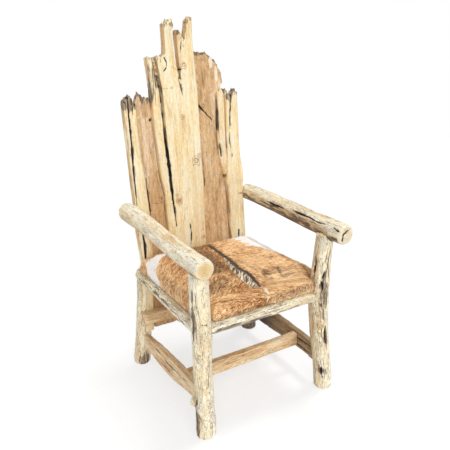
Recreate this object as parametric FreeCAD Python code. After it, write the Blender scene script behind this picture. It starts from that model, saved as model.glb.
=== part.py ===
import FreeCAD, Part
import math
import os

V = FreeCAD.Vector
UP = V(0, 0, 1)
RIGHT = V(1, 0, 0)
BACK = V(0, 1, 0)
LEFT = -1

# A rustic armchair of peeled logs, waney boards and a hide seat. Sizes are in
# millimetres. X runs to the right as the chair is faced, Y to its back, Z up.

# Legs: axis places from the middle of the seat, at foot and head
front_legs_forward = 270.0
front_left_foot_out = 255.5
front_left_head_out = 269.5
front_right_foot_out = 281.0
front_right_head_out = 256.0
back_legs_behind = 253.0
back_feet_behind = 281.0
back_left_foot_out = 264.0
back_left_head_out = 238.0
back_right_foot_out = 293.0
back_right_head_out = 266.0
front_left_leg_diameter = 68.0
front_right_leg_diameter = 69.0
back_leg_diameter = 68.0
back_leg_height = 434.0
branch_stub_length = 54.0
branch_stub_base = 46.0
branch_stub_tip = 28.0
branch_stub_height = 122.0
branch_stub_turn_degrees = 34.0

# Arms: axis places at the rear and the front end
arm_rear_behind = 300.0
arm_rear_height = 680.0
left_arm_rear_out = 279.0
left_arm_front_out = 271.0
left_arm_front_forward = 322.0
left_arm_front_height = 646.0
left_arm_diameter = 70.0
right_arm_rear_out = 292.0
right_arm_front_out = 272.0
right_arm_front_forward = 358.0
right_arm_front_height = 663.0
right_arm_diameter = 73.0
arm_end_easing = 7.0
foot_easing = 5.0

# Seat rails and the joints of the logs
front_rail_height = 414.0
side_rail_front_height = 407.0
side_rail_rear_height = 419.0
seat_rail_diameter = 47.0
tenon_diameter = 22.0
mortise_web = 2.0
tenon_root = 14.0
head_tenon_diameter = 30.0
head_tenon_root = 24.0
scribe_gap = 0.3
tenon_gap = 0.25
tenon_end_gap = 1.0

# Stretchers, boards on edge
stretcher_height = 84.0
stretcher_bottom = 86.0
stretcher_thickness = 26.0
stretcher_tongue_thickness = 15.0
stretcher_tongue_height = 38.0
cross_stretcher_behind = 150.0
cross_stretcher_bottom = 119.0
cross_stretcher_height = 54.0
cross_stretcher_thickness = 27.0
cross_tongue_length = 12.0
cross_tongue_thickness = 12.0
cross_tongue_height = 32.0

# The leaning back: its front plane and its six boards, left to right
back_plane_behind = 255.0
back_plane_height = 450.0
back_lean_degrees = 5.0
back_bottom = 160.0
back_height = 1250.0
back_left_of_middle = 245.0
outer_left_slab_width = 50.0
left_plank_width = 70.0
centre_slab_width = 191.0
right_plank_width = 100.0
sliver_width = 25.0
outer_right_slab_width = 73.0
slab_thickness = 38.0
lap_thickness = 22.0
plank_recess = 19.0
sliver_recess = 8.0
slab_wane = 6.0
plank_wane = 3.0
seam_drift = 40.0
open_seam = 10.0
tight_seam = 0.4
check_from_edge = 37.0
check_width = 13.0
check_depth = 27.0
check_floor_share = 0.35
outer_left_slab_top = 1127.0
left_plank_top = 1138.0
centre_slab_top = 1409.0
right_plank_top = 1283.0
sliver_top = 1138.0
sliver_bottom = 775.0
outer_right_slab_top = 1140.0
broken_end_depth = 40.0
split_depth = 293.0
plank_shoulder_depth = 134.0

# Bars in front of the boards and battens behind them
bar_depth = 40.0
bar_height = 46.0
bar_easing = 2.5
lower_bar_bottom = 212.0
lower_bar_left_out = 272.0
lower_bar_right_out = 304.0
rear_rail_side_gap = 1.0
batten_height = 46.0
batten_thickness = 20.0
lower_batten_middle = 340.0
middle_batten_middle = 640.0
upper_batten_middle = 980.0
batten_end_inset = 22.0
lower_batten_end_inset = 58.0

# The seat: board, foam and hide
seat_underside = 438.0
seat_board_thickness = 15.0
cushion_rise = 82.0
cushion_half_width = 268.0
cushion_front_lip = 21.0
cushion_back_gap = 6.0
cushion_corner_radius = 26.0
cushion_draw_in = 5.0
crown_reach = 125.0
leg_notch_gap = 6.0
hide_thickness = 3.0
hide_turn_under = 24.0
soft_gap = 0.3

# Fasteners
screw_diameter = 4.5
screw_head_diameter = 9.0
screw_head_height = 3.0
batten_screw_length = 36.0
bar_screw_cover = 14.0
lap_screw_cover = 6.0
seat_screw_length = 42.0
seat_screw_cover = 4.0
counterbore_depth = 6.0
screw_end_distance = 10.0
staple_wire = 1.2
staple_width = 10.0
staple_length = 8.0
staple_spacing = 95.0
dowel_diameter = 16.0
dowel_length = 56.0
fastener_gap = 0.2
overrun = 5.0
flatness = 1e-8

# Shapes of the logs: along the log, then the axis aside and aside again, and
# the girth, all as shares of the length or of the diameter
front_left_leg_shares = (
    (0.00, 0.00, 0.00, 1.00), (0.07, 0.02, 0.00, 1.03), (0.21, 0.04, 0.03, 0.97),
    (0.42, -0.02, 0.00, 0.95), (0.60, 0.03, -0.03, 1.02), (0.78, 0.01, 0.02, 1.00),
    (1.00, 0.00, 0.00, 0.96),
)
front_right_leg_shares = (
    (0.00, 0.00, 0.00, 1.02), (0.08, -0.03, 0.00, 1.04), (0.20, -0.14, 0.00, 1.00),
    (0.38, -0.30, 0.03, 1.06), (0.56, -0.38, 0.02, 1.11), (0.70, -0.34, 0.00, 1.08),
    (0.85, -0.20, 0.00, 0.99), (1.00, 0.00, 0.00, 0.95),
)
back_left_leg_shares = (
    (0.00, 0.00, 0.00, 1.02), (0.08, -0.01, 0.02, 1.05), (0.22, 0.02, 0.00, 1.00),
    (0.45, 0.04, -0.02, 0.97), (0.70, 0.07, 0.00, 0.98), (1.00, 0.00, 0.00, 1.00),
)
back_right_leg_shares = (
    (0.00, 0.00, 0.00, 1.05), (0.10, 0.03, 0.02, 1.00), (0.30, -0.02, 0.00, 0.96),
    (0.60, -0.05, 0.01, 1.00), (1.00, 0.00, 0.00, 0.98),
)
left_arm_shares = (
    (0.00, 0.00, 0.00, 1.05), (0.16, 0.01, 0.03, 1.06), (0.34, 0.00, 0.05, 1.02),
    (0.55, -0.03, 0.01, 0.98), (0.76, -0.01, -0.04, 0.97), (1.00, 0.00, 0.00, 1.00),
)
right_arm_shares = (
    (0.00, 0.00, 0.00, 0.94), (0.15, 0.02, 0.03, 0.96), (0.33, 0.04, 0.04, 1.00),
    (0.50, 0.02, 0.02, 1.03), (0.72, 0.00, -0.02, 1.05), (0.90, 0.00, 0.00, 1.06),
    (1.00, 0.00, 0.00, 1.04),
)
front_rail_shares = (
    (0.00, 0.00, 0.00, 1.00), (0.25, 0.00, -0.03, 0.97), (0.55, 0.00, -0.06, 0.95),
    (0.80, 0.00, -0.01, 1.00), (1.00, 0.00, 0.00, 1.02),
)
side_rail_shares = (
    (0.00, 0.00, 0.00, 1.00), (0.22, 0.04, -0.06, 0.98), (0.45, 0.06, -0.10, 0.94),
    (0.65, 0.03, 0.02, 1.00), (0.82, 0.01, 0.08, 1.04), (1.00, 0.00, 0.00, 1.00),
)
log_flats = 14
rod_flats = 8
turn_flats = 6
side_flats = 4
rim_share = 0.6

# How far each log is turned about its own axis
left_arm_turn_degrees = 17.0
right_arm_turn_degrees = 80.0
front_left_leg_turn_degrees = 46.0
front_right_leg_turn_degrees = 120.0
back_left_leg_turn_degrees = 63.0
back_right_leg_turn_degrees = 155.0
seat_rail_turn_degrees = 23.0

saddle_share = 0.35
head_tenon_share = 0.30
rail_lap_share = 0.5

# Waney edges of a stretcher: along it, then its top and bottom edge, as
# shares of its length and height
left_stretcher_shares = (
    (0.00, 1.00, 0.12), (0.18, 1.02, 0.14), (0.34, 1.05, -0.02), (0.50, 0.98, -0.10),
    (0.68, 0.92, -0.12), (0.85, 0.78, -0.05), (1.00, 0.70, 0.00),
)
right_stretcher_shares = (
    (0.00, 1.02, 0.18), (0.20, 1.08, 0.25), (0.42, 1.12, 0.22), (0.64, 1.10, 0.15),
    (0.82, 1.05, 0.12), (1.00, 0.98, 0.08),
)
stretcher_wane_share = 0.14
centre_screw_shares = (-0.25, 0.25)
lap_screw_shares = (0.55, 0.85)
staple_inset_share = 0.6

# Seams of the back: height, drift aside and opening, as shares of the back's
# height, of the seam drift and of the open seam
outer_left_shares = (
    (0.00, -0.28, 0), (0.19, 0.11, 0), (0.24, 0.15, 0), (0.35, -0.08, 0),
    (0.45, -0.08, 0), (0.67, -0.18, 0), (1.00, -0.20, 0),
)
left_seam_shares = (
    (0.00, -0.45, 1.00), (0.11, -0.22, 0.60), (0.24, 0.12, 0.04), (0.43, 0.17, 0.04),
    (0.49, 0.08, 0.04), (0.62, -0.15, 0.04), (1.00, -0.18, 0.04),
)
centre_left_shares = (
    (0.00, 0.52, 0), (0.26, 0.45, 0), (0.35, 0.38, 0), (0.47, 0.22, 0),
    (0.53, -0.03, 0), (0.65, -0.22, 0), (0.77, -0.33, 0), (0.88, -0.70, 0),
    (1.00, -0.70, 0),
)
right_seam_shares = (
    (0.00, -0.15, 0), (0.26, -0.10, 0), (0.38, -0.03, 0), (0.48, 0.08, 0),
    (0.58, 0.02, 0), (0.69, 0.08, 0), (0.83, 0.05, 0), (0.93, -0.08, 0),
    (1.00, 0.00, 0),
)
sliver_left_shares = (
    (0.00, 0.61, 0.00), (0.26, 0.57, 0.00), (0.42, 0.51, 0.00), (0.47, 0.34, 0.00),
    (0.52, 0.05, 0.04), (0.56, -0.20, 0.10), (0.62, -0.32, 0.10), (0.79, -0.02, 0.04),
    (1.00, 0.05, 0.04),
)
sliver_right_shares = (
    (0.00, 0.03, 0.00), (0.26, -0.02, 0.00), (0.42, -0.08, 0.00), (0.47, -0.25, 0.00),
    (0.52, -0.02, 0.04), (0.67, 0.12, 0.04), (0.79, 0.15, 0.04), (1.00, 0.15, 0.04),
)
outer_right_shares = (
    (0.00, 0.48, 0), (0.19, 0.10, 0), (0.26, 0.05, 0), (0.47, 0.03, 0),
    (0.57, -0.12, 0), (0.70, -0.12, 0), (1.00, -0.10, 0),
)

# Broken tops: across the board and down from its top, as shares of its width
# and of its break's depth
outer_left_top_shares = ((0.00, 0.75), (0.30, 0.35), (0.55, 0.00), (0.69, 0.50), (1.00, 1.00))
left_plank_top_shares = ((0.00, 0.90), (0.25, 0.00), (0.38, 0.30), (0.58, 0.55), (1.00, 0.70))
centre_top_shares = (
    (0.00, 0.510), (0.08, 0.500), (0.165, 0.508), (0.185, 0.550), (0.205, 0.505),
    (0.31, 0.490), (0.342, 0.505), (0.359, 0.096), (0.43, 0.078), (0.547, 0.034),
    (0.606, 0.027), (0.62, 0.143), (0.575, 0.181), (0.588, 0.362), (0.592, 0.553),
    (0.607, 0.631), (0.643, 0.809), (0.683, 1.000), (0.675, 0.780), (0.670, 0.577),
    (0.668, 0.372), (0.659, 0.181), (0.728, 0.160), (0.774, 0.212), (0.808, 0.290),
    (0.866, 0.147), (0.885, 0.041), (0.966, 0.000), (1.00, 0.010),
)
# The centre slab's long check: height, drift from a line beside the slab's left
# edge and width, as shares of the back's height, the seam drift and the width
long_check_shares = (
    (0.345, 0.34, 0.06), (0.43, 0.15, 0.45), (0.55, 0.01, 0.70), (0.65, -0.06, 0.75),
    (0.78, -0.10, 0.85), (0.88, -0.50, 1.00), (0.90, -0.58, 1.00),
)
right_plank_top_shares = (
    (0.00, 0.00), (0.35, 0.05), (0.50, 0.02), (0.80, 0.28), (1.08, 0.66), (1.12, 0.98),
)
sliver_top_shares = ((0.00, 0.30), (0.50, 0.00), (1.00, 0.55))
outer_right_top_shares = ((0.00, 0.20), (0.41, 1.00), (0.60, 0.70), (0.78, 0.25), (1.00, 0.75))

# The cushion's side and crown: inset and rise as shares of the crown's reach
# and of the cushion's rise
cushion_level_shares = (
    (0.030, 0.00), (0.004, 0.14), (0.000, 0.30), (0.030, 0.47), (0.095, 0.62),
    (0.220, 0.76), (0.440, 0.89), (0.720, 0.97), (1.000, 1.00),
)


def polygon(points):
    return Part.makePolygon(points + [points[0]])


def loft(wires):
    return Part.makeLoft(wires, True, True)


def is_flat(corners):
    a, b, c, d = corners
    normal = (b - a).cross(c - a)
    return abs(normal.dot(d - a)) < flatness * normal.Length


def skin(rings):
    """A solid with flat facets through rings of as many corners each."""
    faces = [Part.Face(polygon(rings[0])), Part.Face(polygon(rings[-1]))]
    for low, high in zip(rings, rings[1:]):
        for corner in range(len(low)):
            beside = (corner + 1) % len(low)
            quad = [low[corner], low[beside], high[beside], high[corner]]
            if is_flat(quad):
                faces.append(Part.Face(polygon(quad)))
            else:
                faces.append(Part.Face(polygon(quad[:3])))
                faces.append(Part.Face(polygon([quad[0], quad[2], quad[3]])))
    body = Part.Solid(Part.Shell(faces))
    if body.Volume < 0:
        body.reverse()
    return body


def cylinder(radius, start, direction, length):
    return Part.makeCylinder(radius, length, start, direction)


def slice_between(shape, low, high):
    return shape.common(Part.makeBox(room, room, high - low, V(-room / 2, -room / 2, low)))


def largest(shape):
    return max(shape.Solids, key=lambda solid: solid.Volume)


def between(rows, at):
    """Interpolate a table of rows by its first column."""
    if at <= rows[0][0]:
        return rows[0]
    for low, high in zip(rows, rows[1:]):
        if at <= high[0]:
            part = (at - low[0]) / (high[0] - low[0])
            return tuple(a + (b - a) * part for a, b in zip(low, high))
    return rows[-1]


# Logs

class Log:
    """A peeled log: sections square to one axis, between two points."""

    def __init__(self, start, end, diameter, shares, square_to, turn):
        self.square_to = square_to
        self.first, self.second = {
            "x": (BACK, UP), "y": (RIGHT, UP), "z": (RIGHT, BACK),
        }[square_to]
        self.turn = math.radians(turn)
        self.stations = []
        for along, aside, across, girth in shares:
            centre = start + (end - start) * along
            centre = centre + self.first * (aside * diameter)
            centre = centre + self.second * (across * diameter)
            row = (getattr(centre, square_to), centre.x, centre.y, centre.z)
            self.stations.append(row + (girth * diameter / 2,))
        self.stations.sort()

    def ease_end(self, end, size):
        """Chamfer one end by a last station that is smaller."""
        last = self.stations[end]
        inner = self.stations[1 if end == 0 else -2]
        part = size / abs(inner[0] - last[0])
        eased = tuple(a + (b - a) * part for a, b in zip(last, inner))
        self.stations[end] = last[:-1] + (last[-1] - size * rim_share,)
        self.stations.append(eased)
        self.stations.sort()

    def at(self, place):
        row = between(self.stations, place)
        return V(row[1], row[2], row[3]), row[4]

    def ring(self, row, grow):
        """The corners of one section: the long flats that a drawknife leaves."""
        half_turn = math.pi / log_flats
        # The corners stand just outside the girth, the flats just inside it
        reach = row[4] / math.sqrt(math.cos(half_turn)) + grow / math.cos(half_turn)
        centre = V(row[1], row[2], row[3])
        corners = []
        for corner in range(log_flats):
            angle = self.turn + 2 * half_turn * corner
            side = self.first * math.cos(angle) + self.second * math.sin(angle)
            corners.append(centre + side * reach)
        return corners

    def solid(self, grow=0.0):
        return skin([self.ring(row, grow) for row in self.stations])


def leg_log(side, foot_out, head_out, foot_forward, head_forward, height, diameter, shares, turn):
    foot = V(side * foot_out, foot_forward, 0)
    head = V(side * head_out, head_forward, height)
    leg = Log(foot, head, diameter, shares, "z", turn)
    leg.ease_end(0, foot_easing)
    return leg


def arm_log(side, rear_out, front_out, front_forward, front_height, diameter, shares, turn):
    rear = V(side * rear_out, arm_rear_behind, arm_rear_height)
    front = V(side * front_out, -front_forward, front_height)
    arm = Log(rear, front, diameter, shares, "y", turn)
    arm.ease_end(0, arm_end_easing)
    arm.ease_end(-1, arm_end_easing)
    return arm


def front_leg_head(arm):
    """The height at which a front leg ends, saddled under its arm."""
    centre, radius = arm.at(-front_legs_forward)
    return centre.z - saddle_share * radius


left_arm = arm_log(
    LEFT, left_arm_rear_out, left_arm_front_out, left_arm_front_forward,
    left_arm_front_height, left_arm_diameter, left_arm_shares, left_arm_turn_degrees,
)
right_arm = arm_log(
    1, right_arm_rear_out, right_arm_front_out, right_arm_front_forward,
    right_arm_front_height, right_arm_diameter, right_arm_shares, right_arm_turn_degrees,
)
front_left_leg = leg_log(
    LEFT, front_left_foot_out, front_left_head_out, -front_legs_forward,
    -front_legs_forward, front_leg_head(left_arm), front_left_leg_diameter,
    front_left_leg_shares, front_left_leg_turn_degrees,
)
front_right_leg = leg_log(
    1, front_right_foot_out, front_right_head_out, -front_legs_forward,
    -front_legs_forward, front_leg_head(right_arm), front_right_leg_diameter,
    front_right_leg_shares, front_right_leg_turn_degrees,
)
back_left_leg = leg_log(
    LEFT, back_left_foot_out, back_left_head_out, back_feet_behind, back_legs_behind,
    back_leg_height, back_leg_diameter, back_left_leg_shares, back_left_leg_turn_degrees,
)
back_right_leg = leg_log(
    1, back_right_foot_out, back_right_head_out, back_feet_behind, back_legs_behind,
    back_leg_height, back_leg_diameter, back_right_leg_shares, back_right_leg_turn_degrees,
)


# The back's plane and its seams

lean = math.tan(math.radians(back_lean_degrees))


def back_point(x, depth, height):
    """A point at a depth behind the back's leaning front plane."""
    return V(x, back_plane_behind + (height - back_plane_height) * lean + depth, height)


def back_block(points, front, rear):
    """A solid with the given x and height outline between two depths."""
    wires = [polygon([back_point(x, d, h) for x, h in points]) for d in (front, rear)]
    return loft(wires)


def back_bar(left, right, bottom, top, front, rear):
    outline = [(left, bottom), (left, top), (right, top), (right, bottom)]
    return back_block(outline, front, rear)


def seam(base, shares):
    rows = []
    for height, drift, opening in shares:
        gap = tight_seam + opening * open_seam
        rows.append((back_bottom + height * back_height, base + drift * seam_drift, gap))
    return rows


widths = (
    outer_left_slab_width, left_plank_width, centre_slab_width,
    right_plank_width, sliver_width, outer_right_slab_width,
)
bases = [-back_left_of_middle]
for width in widths:
    bases.append(bases[-1] + width)
centre_left_base = bases[2]
(
    outer_left_edge, left_seam, centre_left_seam, right_seam,
    sliver_left_seam, sliver_right_seam, outer_right_edge,
) = (
    seam(base, shares) for base, shares in zip(bases, (
        outer_left_shares, left_seam_shares, centre_left_shares, right_seam_shares,
        sliver_left_shares, sliver_right_shares, outer_right_shares,
    ))
)


def right_side_of(rows, height):
    row = between(rows, height)
    return row[1] + row[2] / 2


def left_side_of(rows, height):
    row = between(rows, height)
    return row[1] - row[2] / 2


def edge_of(rows, height):
    return between(rows, height)[1]


class Board:
    """A waney board between two seams, with a broken top."""

    def __init__(self, left, right, bottom, top, break_depth, top_shares, front, rear, wane):
        self.left, self.right = left, right
        self.bottom, self.top = bottom, top
        self.break_depth, self.top_shares = break_depth, top_shares
        self.front, self.rear, self.wane = front, rear, wane

    def edge_x(self, side, height):
        rows, place = side
        return place(rows, height)

    def middle(self, height):
        return (self.edge_x(self.left, height) + self.edge_x(self.right, height)) / 2

    def outline(self):
        head = []
        for across, drop in self.top_shares:
            height = self.top - drop * self.break_depth
            low = self.edge_x(self.left, height)
            high = self.edge_x(self.right, height)
            head.append((low + across * (high - low), height))
        left = self.edge_rows(self.left, head[0][1])
        right = self.edge_rows(self.right, head[-1][1])
        return left + head + right[::-1]

    def edge_rows(self, side, limit):
        heights = [self.bottom]
        heights += [row[0] for row in side[0] if self.bottom < row[0] < limit]
        return [(self.edge_x(side, height), height) for height in heights]

    def solid(self):
        """Bevelled to the front by the wane, square at the back."""
        full = self.outline()
        face = []
        for x, height in full:
            width = self.edge_x(self.right, height) - self.edge_x(self.left, height)
            share = 1 - 2 * self.wane / width
            middle = self.middle(height)
            face.append((middle + (x - middle) * share, height))
        depths = ((face, self.front), (full, self.front + self.wane), (full, self.rear))
        wires = [polygon([back_point(x, d, h) for x, h in rows]) for rows, d in depths]
        return loft(wires)


boards = {
    "outer_left_slab": Board(
        (outer_left_edge, edge_of), (left_seam, left_side_of), back_bottom,
        outer_left_slab_top, broken_end_depth, outer_left_top_shares,
        0, slab_thickness, slab_wane,
    ),
    "left_plank": Board(
        (left_seam, right_side_of), (centre_left_seam, left_side_of), back_bottom,
        left_plank_top, broken_end_depth, left_plank_top_shares,
        plank_recess, slab_thickness, plank_wane,
    ),
    "centre_slab": Board(
        (centre_left_seam, right_side_of), (right_seam, left_side_of), back_bottom,
        centre_slab_top, split_depth, centre_top_shares,
        0, slab_thickness, slab_wane,
    ),
    "right_plank": Board(
        (right_seam, right_side_of), (sliver_left_seam, left_side_of), back_bottom,
        right_plank_top, plank_shoulder_depth, right_plank_top_shares,
        plank_recess, slab_thickness, plank_wane,
    ),
    "sliver_board": Board(
        (sliver_left_seam, right_side_of), (sliver_right_seam, left_side_of),
        sliver_bottom, sliver_top, broken_end_depth, sliver_top_shares,
        sliver_recess, slab_thickness, plank_wane,
    ),
    "outer_right_slab": Board(
        (sliver_right_seam, right_side_of), (outer_right_edge, edge_of), back_bottom,
        outer_right_slab_top, broken_end_depth, outer_right_top_shares,
        0, slab_thickness, slab_wane,
    ),
}


# Joints between the logs

def rail_tenon_depth(leg_diameter):
    """Two tenons meet in one leg at a right angle, with a web between them."""
    return leg_diameter / 2 - tenon_diameter / 2 - mortise_web


def where_it_leaves(leg, point, toward):
    """The point where a line from inside a leg comes out of its surface."""
    centre, radius = leg.at(point.z)
    to_axis = centre - point
    to_axis.z = 0
    along = toward * to_axis.dot(toward)
    aside = to_axis - along
    return point + along + toward * math.sqrt(radius ** 2 - aside.Length ** 2)


def round_tenon(surface, depth, toward):
    """A round tenon that points into a leg, and the bore that takes it."""
    tip = surface - toward * depth
    floor = surface - toward * (depth + tenon_end_gap)
    tenon = cylinder(tenon_diameter / 2, tip, toward, depth + tenon_root)
    bore = cylinder(
        tenon_diameter / 2 + tenon_gap, floor, toward, depth + tenon_end_gap + overrun,
    )
    return tenon, bore


def square_block(start, toward, aside, length, thickness, height):
    """A block along toward, centred on its start in thickness and height."""
    corners = ((LEFT, -height), (LEFT, height), (1, height), (1, -height))
    points = [start + aside * (a * thickness / 2) + UP * (b / 2) for a, b in corners]
    return Part.Face(polygon(points)).extrude(toward * length)


def cut_all(shape, tools):
    for tool in tools:
        shape = shape.cut(tool)
    return largest(shape)


def make_rail(start, end, shares, square_to, legs):
    """A rail scribed to two legs, with a tenon into each, and the bores."""
    body = Log(
        start, end, seat_rail_diameter, shares, square_to, seat_rail_turn_degrees,
    ).solid()
    body = cut_all(body, [leg.solid(scribe_gap) for leg in legs])
    body = slice_between(body, 0, seat_flat)
    toward = (end - start).normalize()
    bores = []
    for leg, point, way in zip(legs, (start, end), (toward, toward * LEFT)):
        surface = where_it_leaves(leg, point, way)
        tenon, bore = round_tenon(surface, rail_tenon_depth(front_left_leg_diameter), way)
        body = body.fuse(tenon)
        bores.append(bore)
    return body, bores


def rear_rail_place(side, leg, slab_edge):
    """A side rail's rear end lies in the leg's wood outside the slab."""
    centre, radius = leg.at(side_rail_rear_height)
    slab = edge_of(slab_edge, side_rail_rear_height)
    outside = centre.x + side * radius
    return V(slab + (outside - slab) * rail_lap_share, centre.y, side_rail_rear_height)


def leg_head(leg, arm):
    """The tenon on a front leg's head and its bore in the arm above."""
    centre, radius = arm.at(-front_legs_forward)
    foot = V(leg.at(centre.z)[0])
    foot.z = centre.z - radius - head_tenon_root
    rise = radius + head_tenon_root + head_tenon_share * radius
    tenon = cylinder(head_tenon_diameter / 2, foot, UP, rise)
    bore = cylinder(head_tenon_diameter / 2 + tenon_gap, foot, UP, rise + tenon_end_gap)
    return tenon, bore


# Stretchers

def stretcher_line(front_leg, back_leg):
    middle = stretcher_bottom + stretcher_height / 2
    return front_leg.at(middle)[0], back_leg.at(middle)[0]


def make_stretcher(side, shares, front_leg, back_leg, front_hull):
    """A waney board on edge, tongued into two legs, and its mortises."""
    start, end = stretcher_line(front_leg, back_leg)
    toward = (end - start).normalize()
    toward.z = 0
    outward = V(-toward.y, toward.x, 0) * (LEFT * side)
    length = (end - start).Length
    faces = []
    for across, wane in ((LEFT, 0), (1, stretcher_wane_share)):
        shift = outward * (across * stretcher_thickness / 2)
        rows = []
        for along, top, low in shares:
            rows.append((along, top))
        for along, top, low in reversed(shares):
            rows.append((along, low + wane))
        points = []
        for along, rise in rows:
            place = start + toward * (along * length) + shift
            place.z = stretcher_bottom + rise * stretcher_height
            points.append(place)
        faces.append(polygon(points))
    body = cut_all(loft(faces), [front_hull, back_leg.solid(scribe_gap)])
    mortises = []
    for leg, point, way in ((front_leg, start, toward), (back_leg, end, toward * LEFT)):
        surface = where_it_leaves(leg, point, way)
        depth = rail_tenon_depth(front_left_leg_diameter)
        tongue = square_block(
            surface - way * depth, way, outward, depth + tenon_root,
            stretcher_tongue_thickness, stretcher_tongue_height,
        )
        mortise = square_block(
            surface - way * (depth + tenon_end_gap), way, outward,
            depth + tenon_end_gap + overrun, stretcher_tongue_thickness + 2 * tenon_gap,
            stretcher_tongue_height + 2 * tenon_gap,
        )
        body = body.fuse(tongue)
        mortises.append(mortise)
    return body, mortises


def make_cross_stretcher(lines):
    """The bar between the side stretchers, and its two mortises."""
    place = -front_legs_forward + cross_stretcher_behind
    middle = cross_stretcher_bottom + cross_stretcher_height / 2
    ends = []
    for start, end in lines:
        part = (place - start.y) / (end.y - start.y)
        ends.append(V(start.x + (end.x - start.x) * part, place, middle))
    inside = stretcher_thickness / 2 + 2 * scribe_gap
    left = ends[0] + RIGHT * inside
    right = ends[1] - RIGHT * inside
    body = square_block(
        left, RIGHT, BACK, right.x - left.x, cross_stretcher_thickness, cross_stretcher_height,
    )
    tongues = square_block(
        left - RIGHT * cross_tongue_length, RIGHT, BACK,
        right.x - left.x + 2 * cross_tongue_length, cross_tongue_thickness, cross_tongue_height,
    )
    reach = cross_tongue_length + tenon_end_gap
    mortise = square_block(
        left - RIGHT * reach, RIGHT, BACK, right.x - left.x + 2 * reach,
        cross_tongue_thickness + 2 * tenon_gap, cross_tongue_height + 2 * tenon_gap,
    )
    return body.fuse(tongues), mortise


def make_branch_stub(front_leg, back_leg):
    """The stub of a branch beside the left stretcher's front end."""
    start, end = stretcher_line(front_leg, back_leg)
    toward = (end - start).normalize()
    toward.z = 0
    turn = math.radians(branch_stub_turn_degrees)
    way = toward * math.cos(turn) + V(-toward.y, toward.x, 0) * math.sin(turn)
    root = V(start.x, start.y, branch_stub_height)
    return root, way


def branch_cone(root, way, grow):
    return Part.makeCone(
        branch_stub_base / 2 + grow, branch_stub_tip / 2 + grow,
        branch_stub_length + grow, root, way,
    )


# The seat

def round_corner(x, y, first, last, way):
    """Short lines on an arc about x, y, from one point to another."""
    start = math.atan2(first.y - y, first.x - x)
    end = math.atan2(last.y - y, last.x - x)
    turn = way * ((way * (end - start)) % (2 * math.pi))
    reach = math.hypot(first.x - x, first.y - y)
    points = []
    for step in range(turn_flats + 1):
        angle = start + turn * step / turn_flats
        points.append(V(x + reach * math.cos(angle), y + reach * math.sin(angle), first.z))
    return points


def drawn_in(first, last, inward):
    """Points between two corners, pulled in most at the middle."""
    points = []
    for step in range(1, side_flats):
        along = step / side_flats
        bow = 4 * along * (1 - along)
        points.append(first + (last - first) * along + inward * bow)
    return points


def cushion_outline(inset, height):
    """The seat's plan: drawn-in sides, round rear corners, two leg notches."""
    left = inset - cushion_half_width
    right = cushion_half_width - inset
    front = inset - front_legs_forward - cushion_front_lip
    rear = back_point(0, -cushion_back_gap, seat_underside).y - inset
    shoulder = rear - cushion_corner_radius
    left_turn = left + cushion_corner_radius
    right_turn = right - cushion_corner_radius
    notches = []
    for leg in (front_left_leg, front_right_leg):
        centre, radius = leg.at(seat_underside + cushion_rise / 2)
        notches.append((centre.x, centre.y, radius + leg_notch_gap + inset))
    (x1, y1, r1), (x2, y2, r2) = notches
    front_left = V(x1 + math.sqrt(r1 ** 2 - (front - y1) ** 2), front, height)
    front_right = V(x2 - math.sqrt(r2 ** 2 - (front - y2) ** 2), front, height)
    side_left = V(left, y1 + math.sqrt(r1 ** 2 - (left - x1) ** 2), height)
    side_right = V(right, y2 + math.sqrt(r2 ** 2 - (right - x2) ** 2), height)
    rear_left = V(left, shoulder, height)
    rear_right = V(right, shoulder, height)
    points = drawn_in(front_left, front_right, BACK * (cushion_draw_in / 2))
    points += round_corner(x2, y2, front_right, side_right, LEFT)
    points += drawn_in(side_right, rear_right, RIGHT * -cushion_draw_in)
    points += round_corner(right_turn, shoulder, rear_right, V(right_turn, rear, height), 1)
    points += round_corner(left_turn, shoulder, V(left_turn, rear, height), rear_left, 1)
    points += drawn_in(rear_left, side_left, RIGHT * cushion_draw_in)
    points += round_corner(x1, y1, side_left, front_left, LEFT)
    return points


def crowned_form(shrink):
    """The cushion's crowned form, made smaller all round by shrink."""
    rings = []
    for inset, rise in cushion_level_shares:
        height = seat_underside + rise * cushion_rise - shrink
        rings.append(cushion_outline(inset * crown_reach + shrink, height))
    return skin(rings)


def make_seat():
    """The board, the foam on it and the hide pulled over both."""
    board_low = seat_underside + hide_thickness + soft_gap
    board_high = board_low + seat_board_thickness
    board_inset = hide_thickness + soft_gap + cushion_level_shares[0][0] * crown_reach
    plan = Part.Face(polygon(cushion_outline(board_inset, board_low)))
    board = plan.extrude(UP * seat_board_thickness)
    inside = slice_between(crowned_form(hide_thickness), seat_underside + hide_thickness, room)
    mouth = Part.Face(polygon(cushion_outline(hide_turn_under, seat_underside - overrun)))
    mouth = mouth.extrude(UP * (overrun + 2 * hide_thickness))
    hide = crowned_form(0).cut(inside).cut(mouth)
    foam = slice_between(crowned_form(hide_thickness + soft_gap), board_high + soft_gap, room)
    return board, foam, hide


# Fasteners: each gives its own solid and the hole that it needs

def rod(radius, start, toward, length):
    """A round bar with few flats, for what is small and repeats."""
    first = toward.cross(RIGHT)
    second = toward.cross(first)
    corners = []
    for corner in range(rod_flats):
        angle = 2 * math.pi * corner / rod_flats
        side = first * math.cos(angle) + second * math.sin(angle)
        corners.append(start + side * radius)
    return Part.Face(polygon(corners)).extrude(toward * length)


def make_screw(head_end, toward, length, sunk):
    """A screw from its head's outer face, with its clearance hole."""
    shank_start = head_end + toward * screw_head_height
    shank = rod(screw_diameter / 2, shank_start, toward, length - screw_head_height)
    head = rod(screw_head_diameter / 2, head_end, toward, screw_head_height)
    hole = rod(screw_diameter / 2 + fastener_gap, head_end, toward, length + tenon_end_gap)
    wide = rod(
        screw_head_diameter / 2 + fastener_gap, head_end - toward * sunk, toward,
        sunk + screw_head_height + fastener_gap,
    )
    return head.fuse(shank), hole.fuse(wide)


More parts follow.
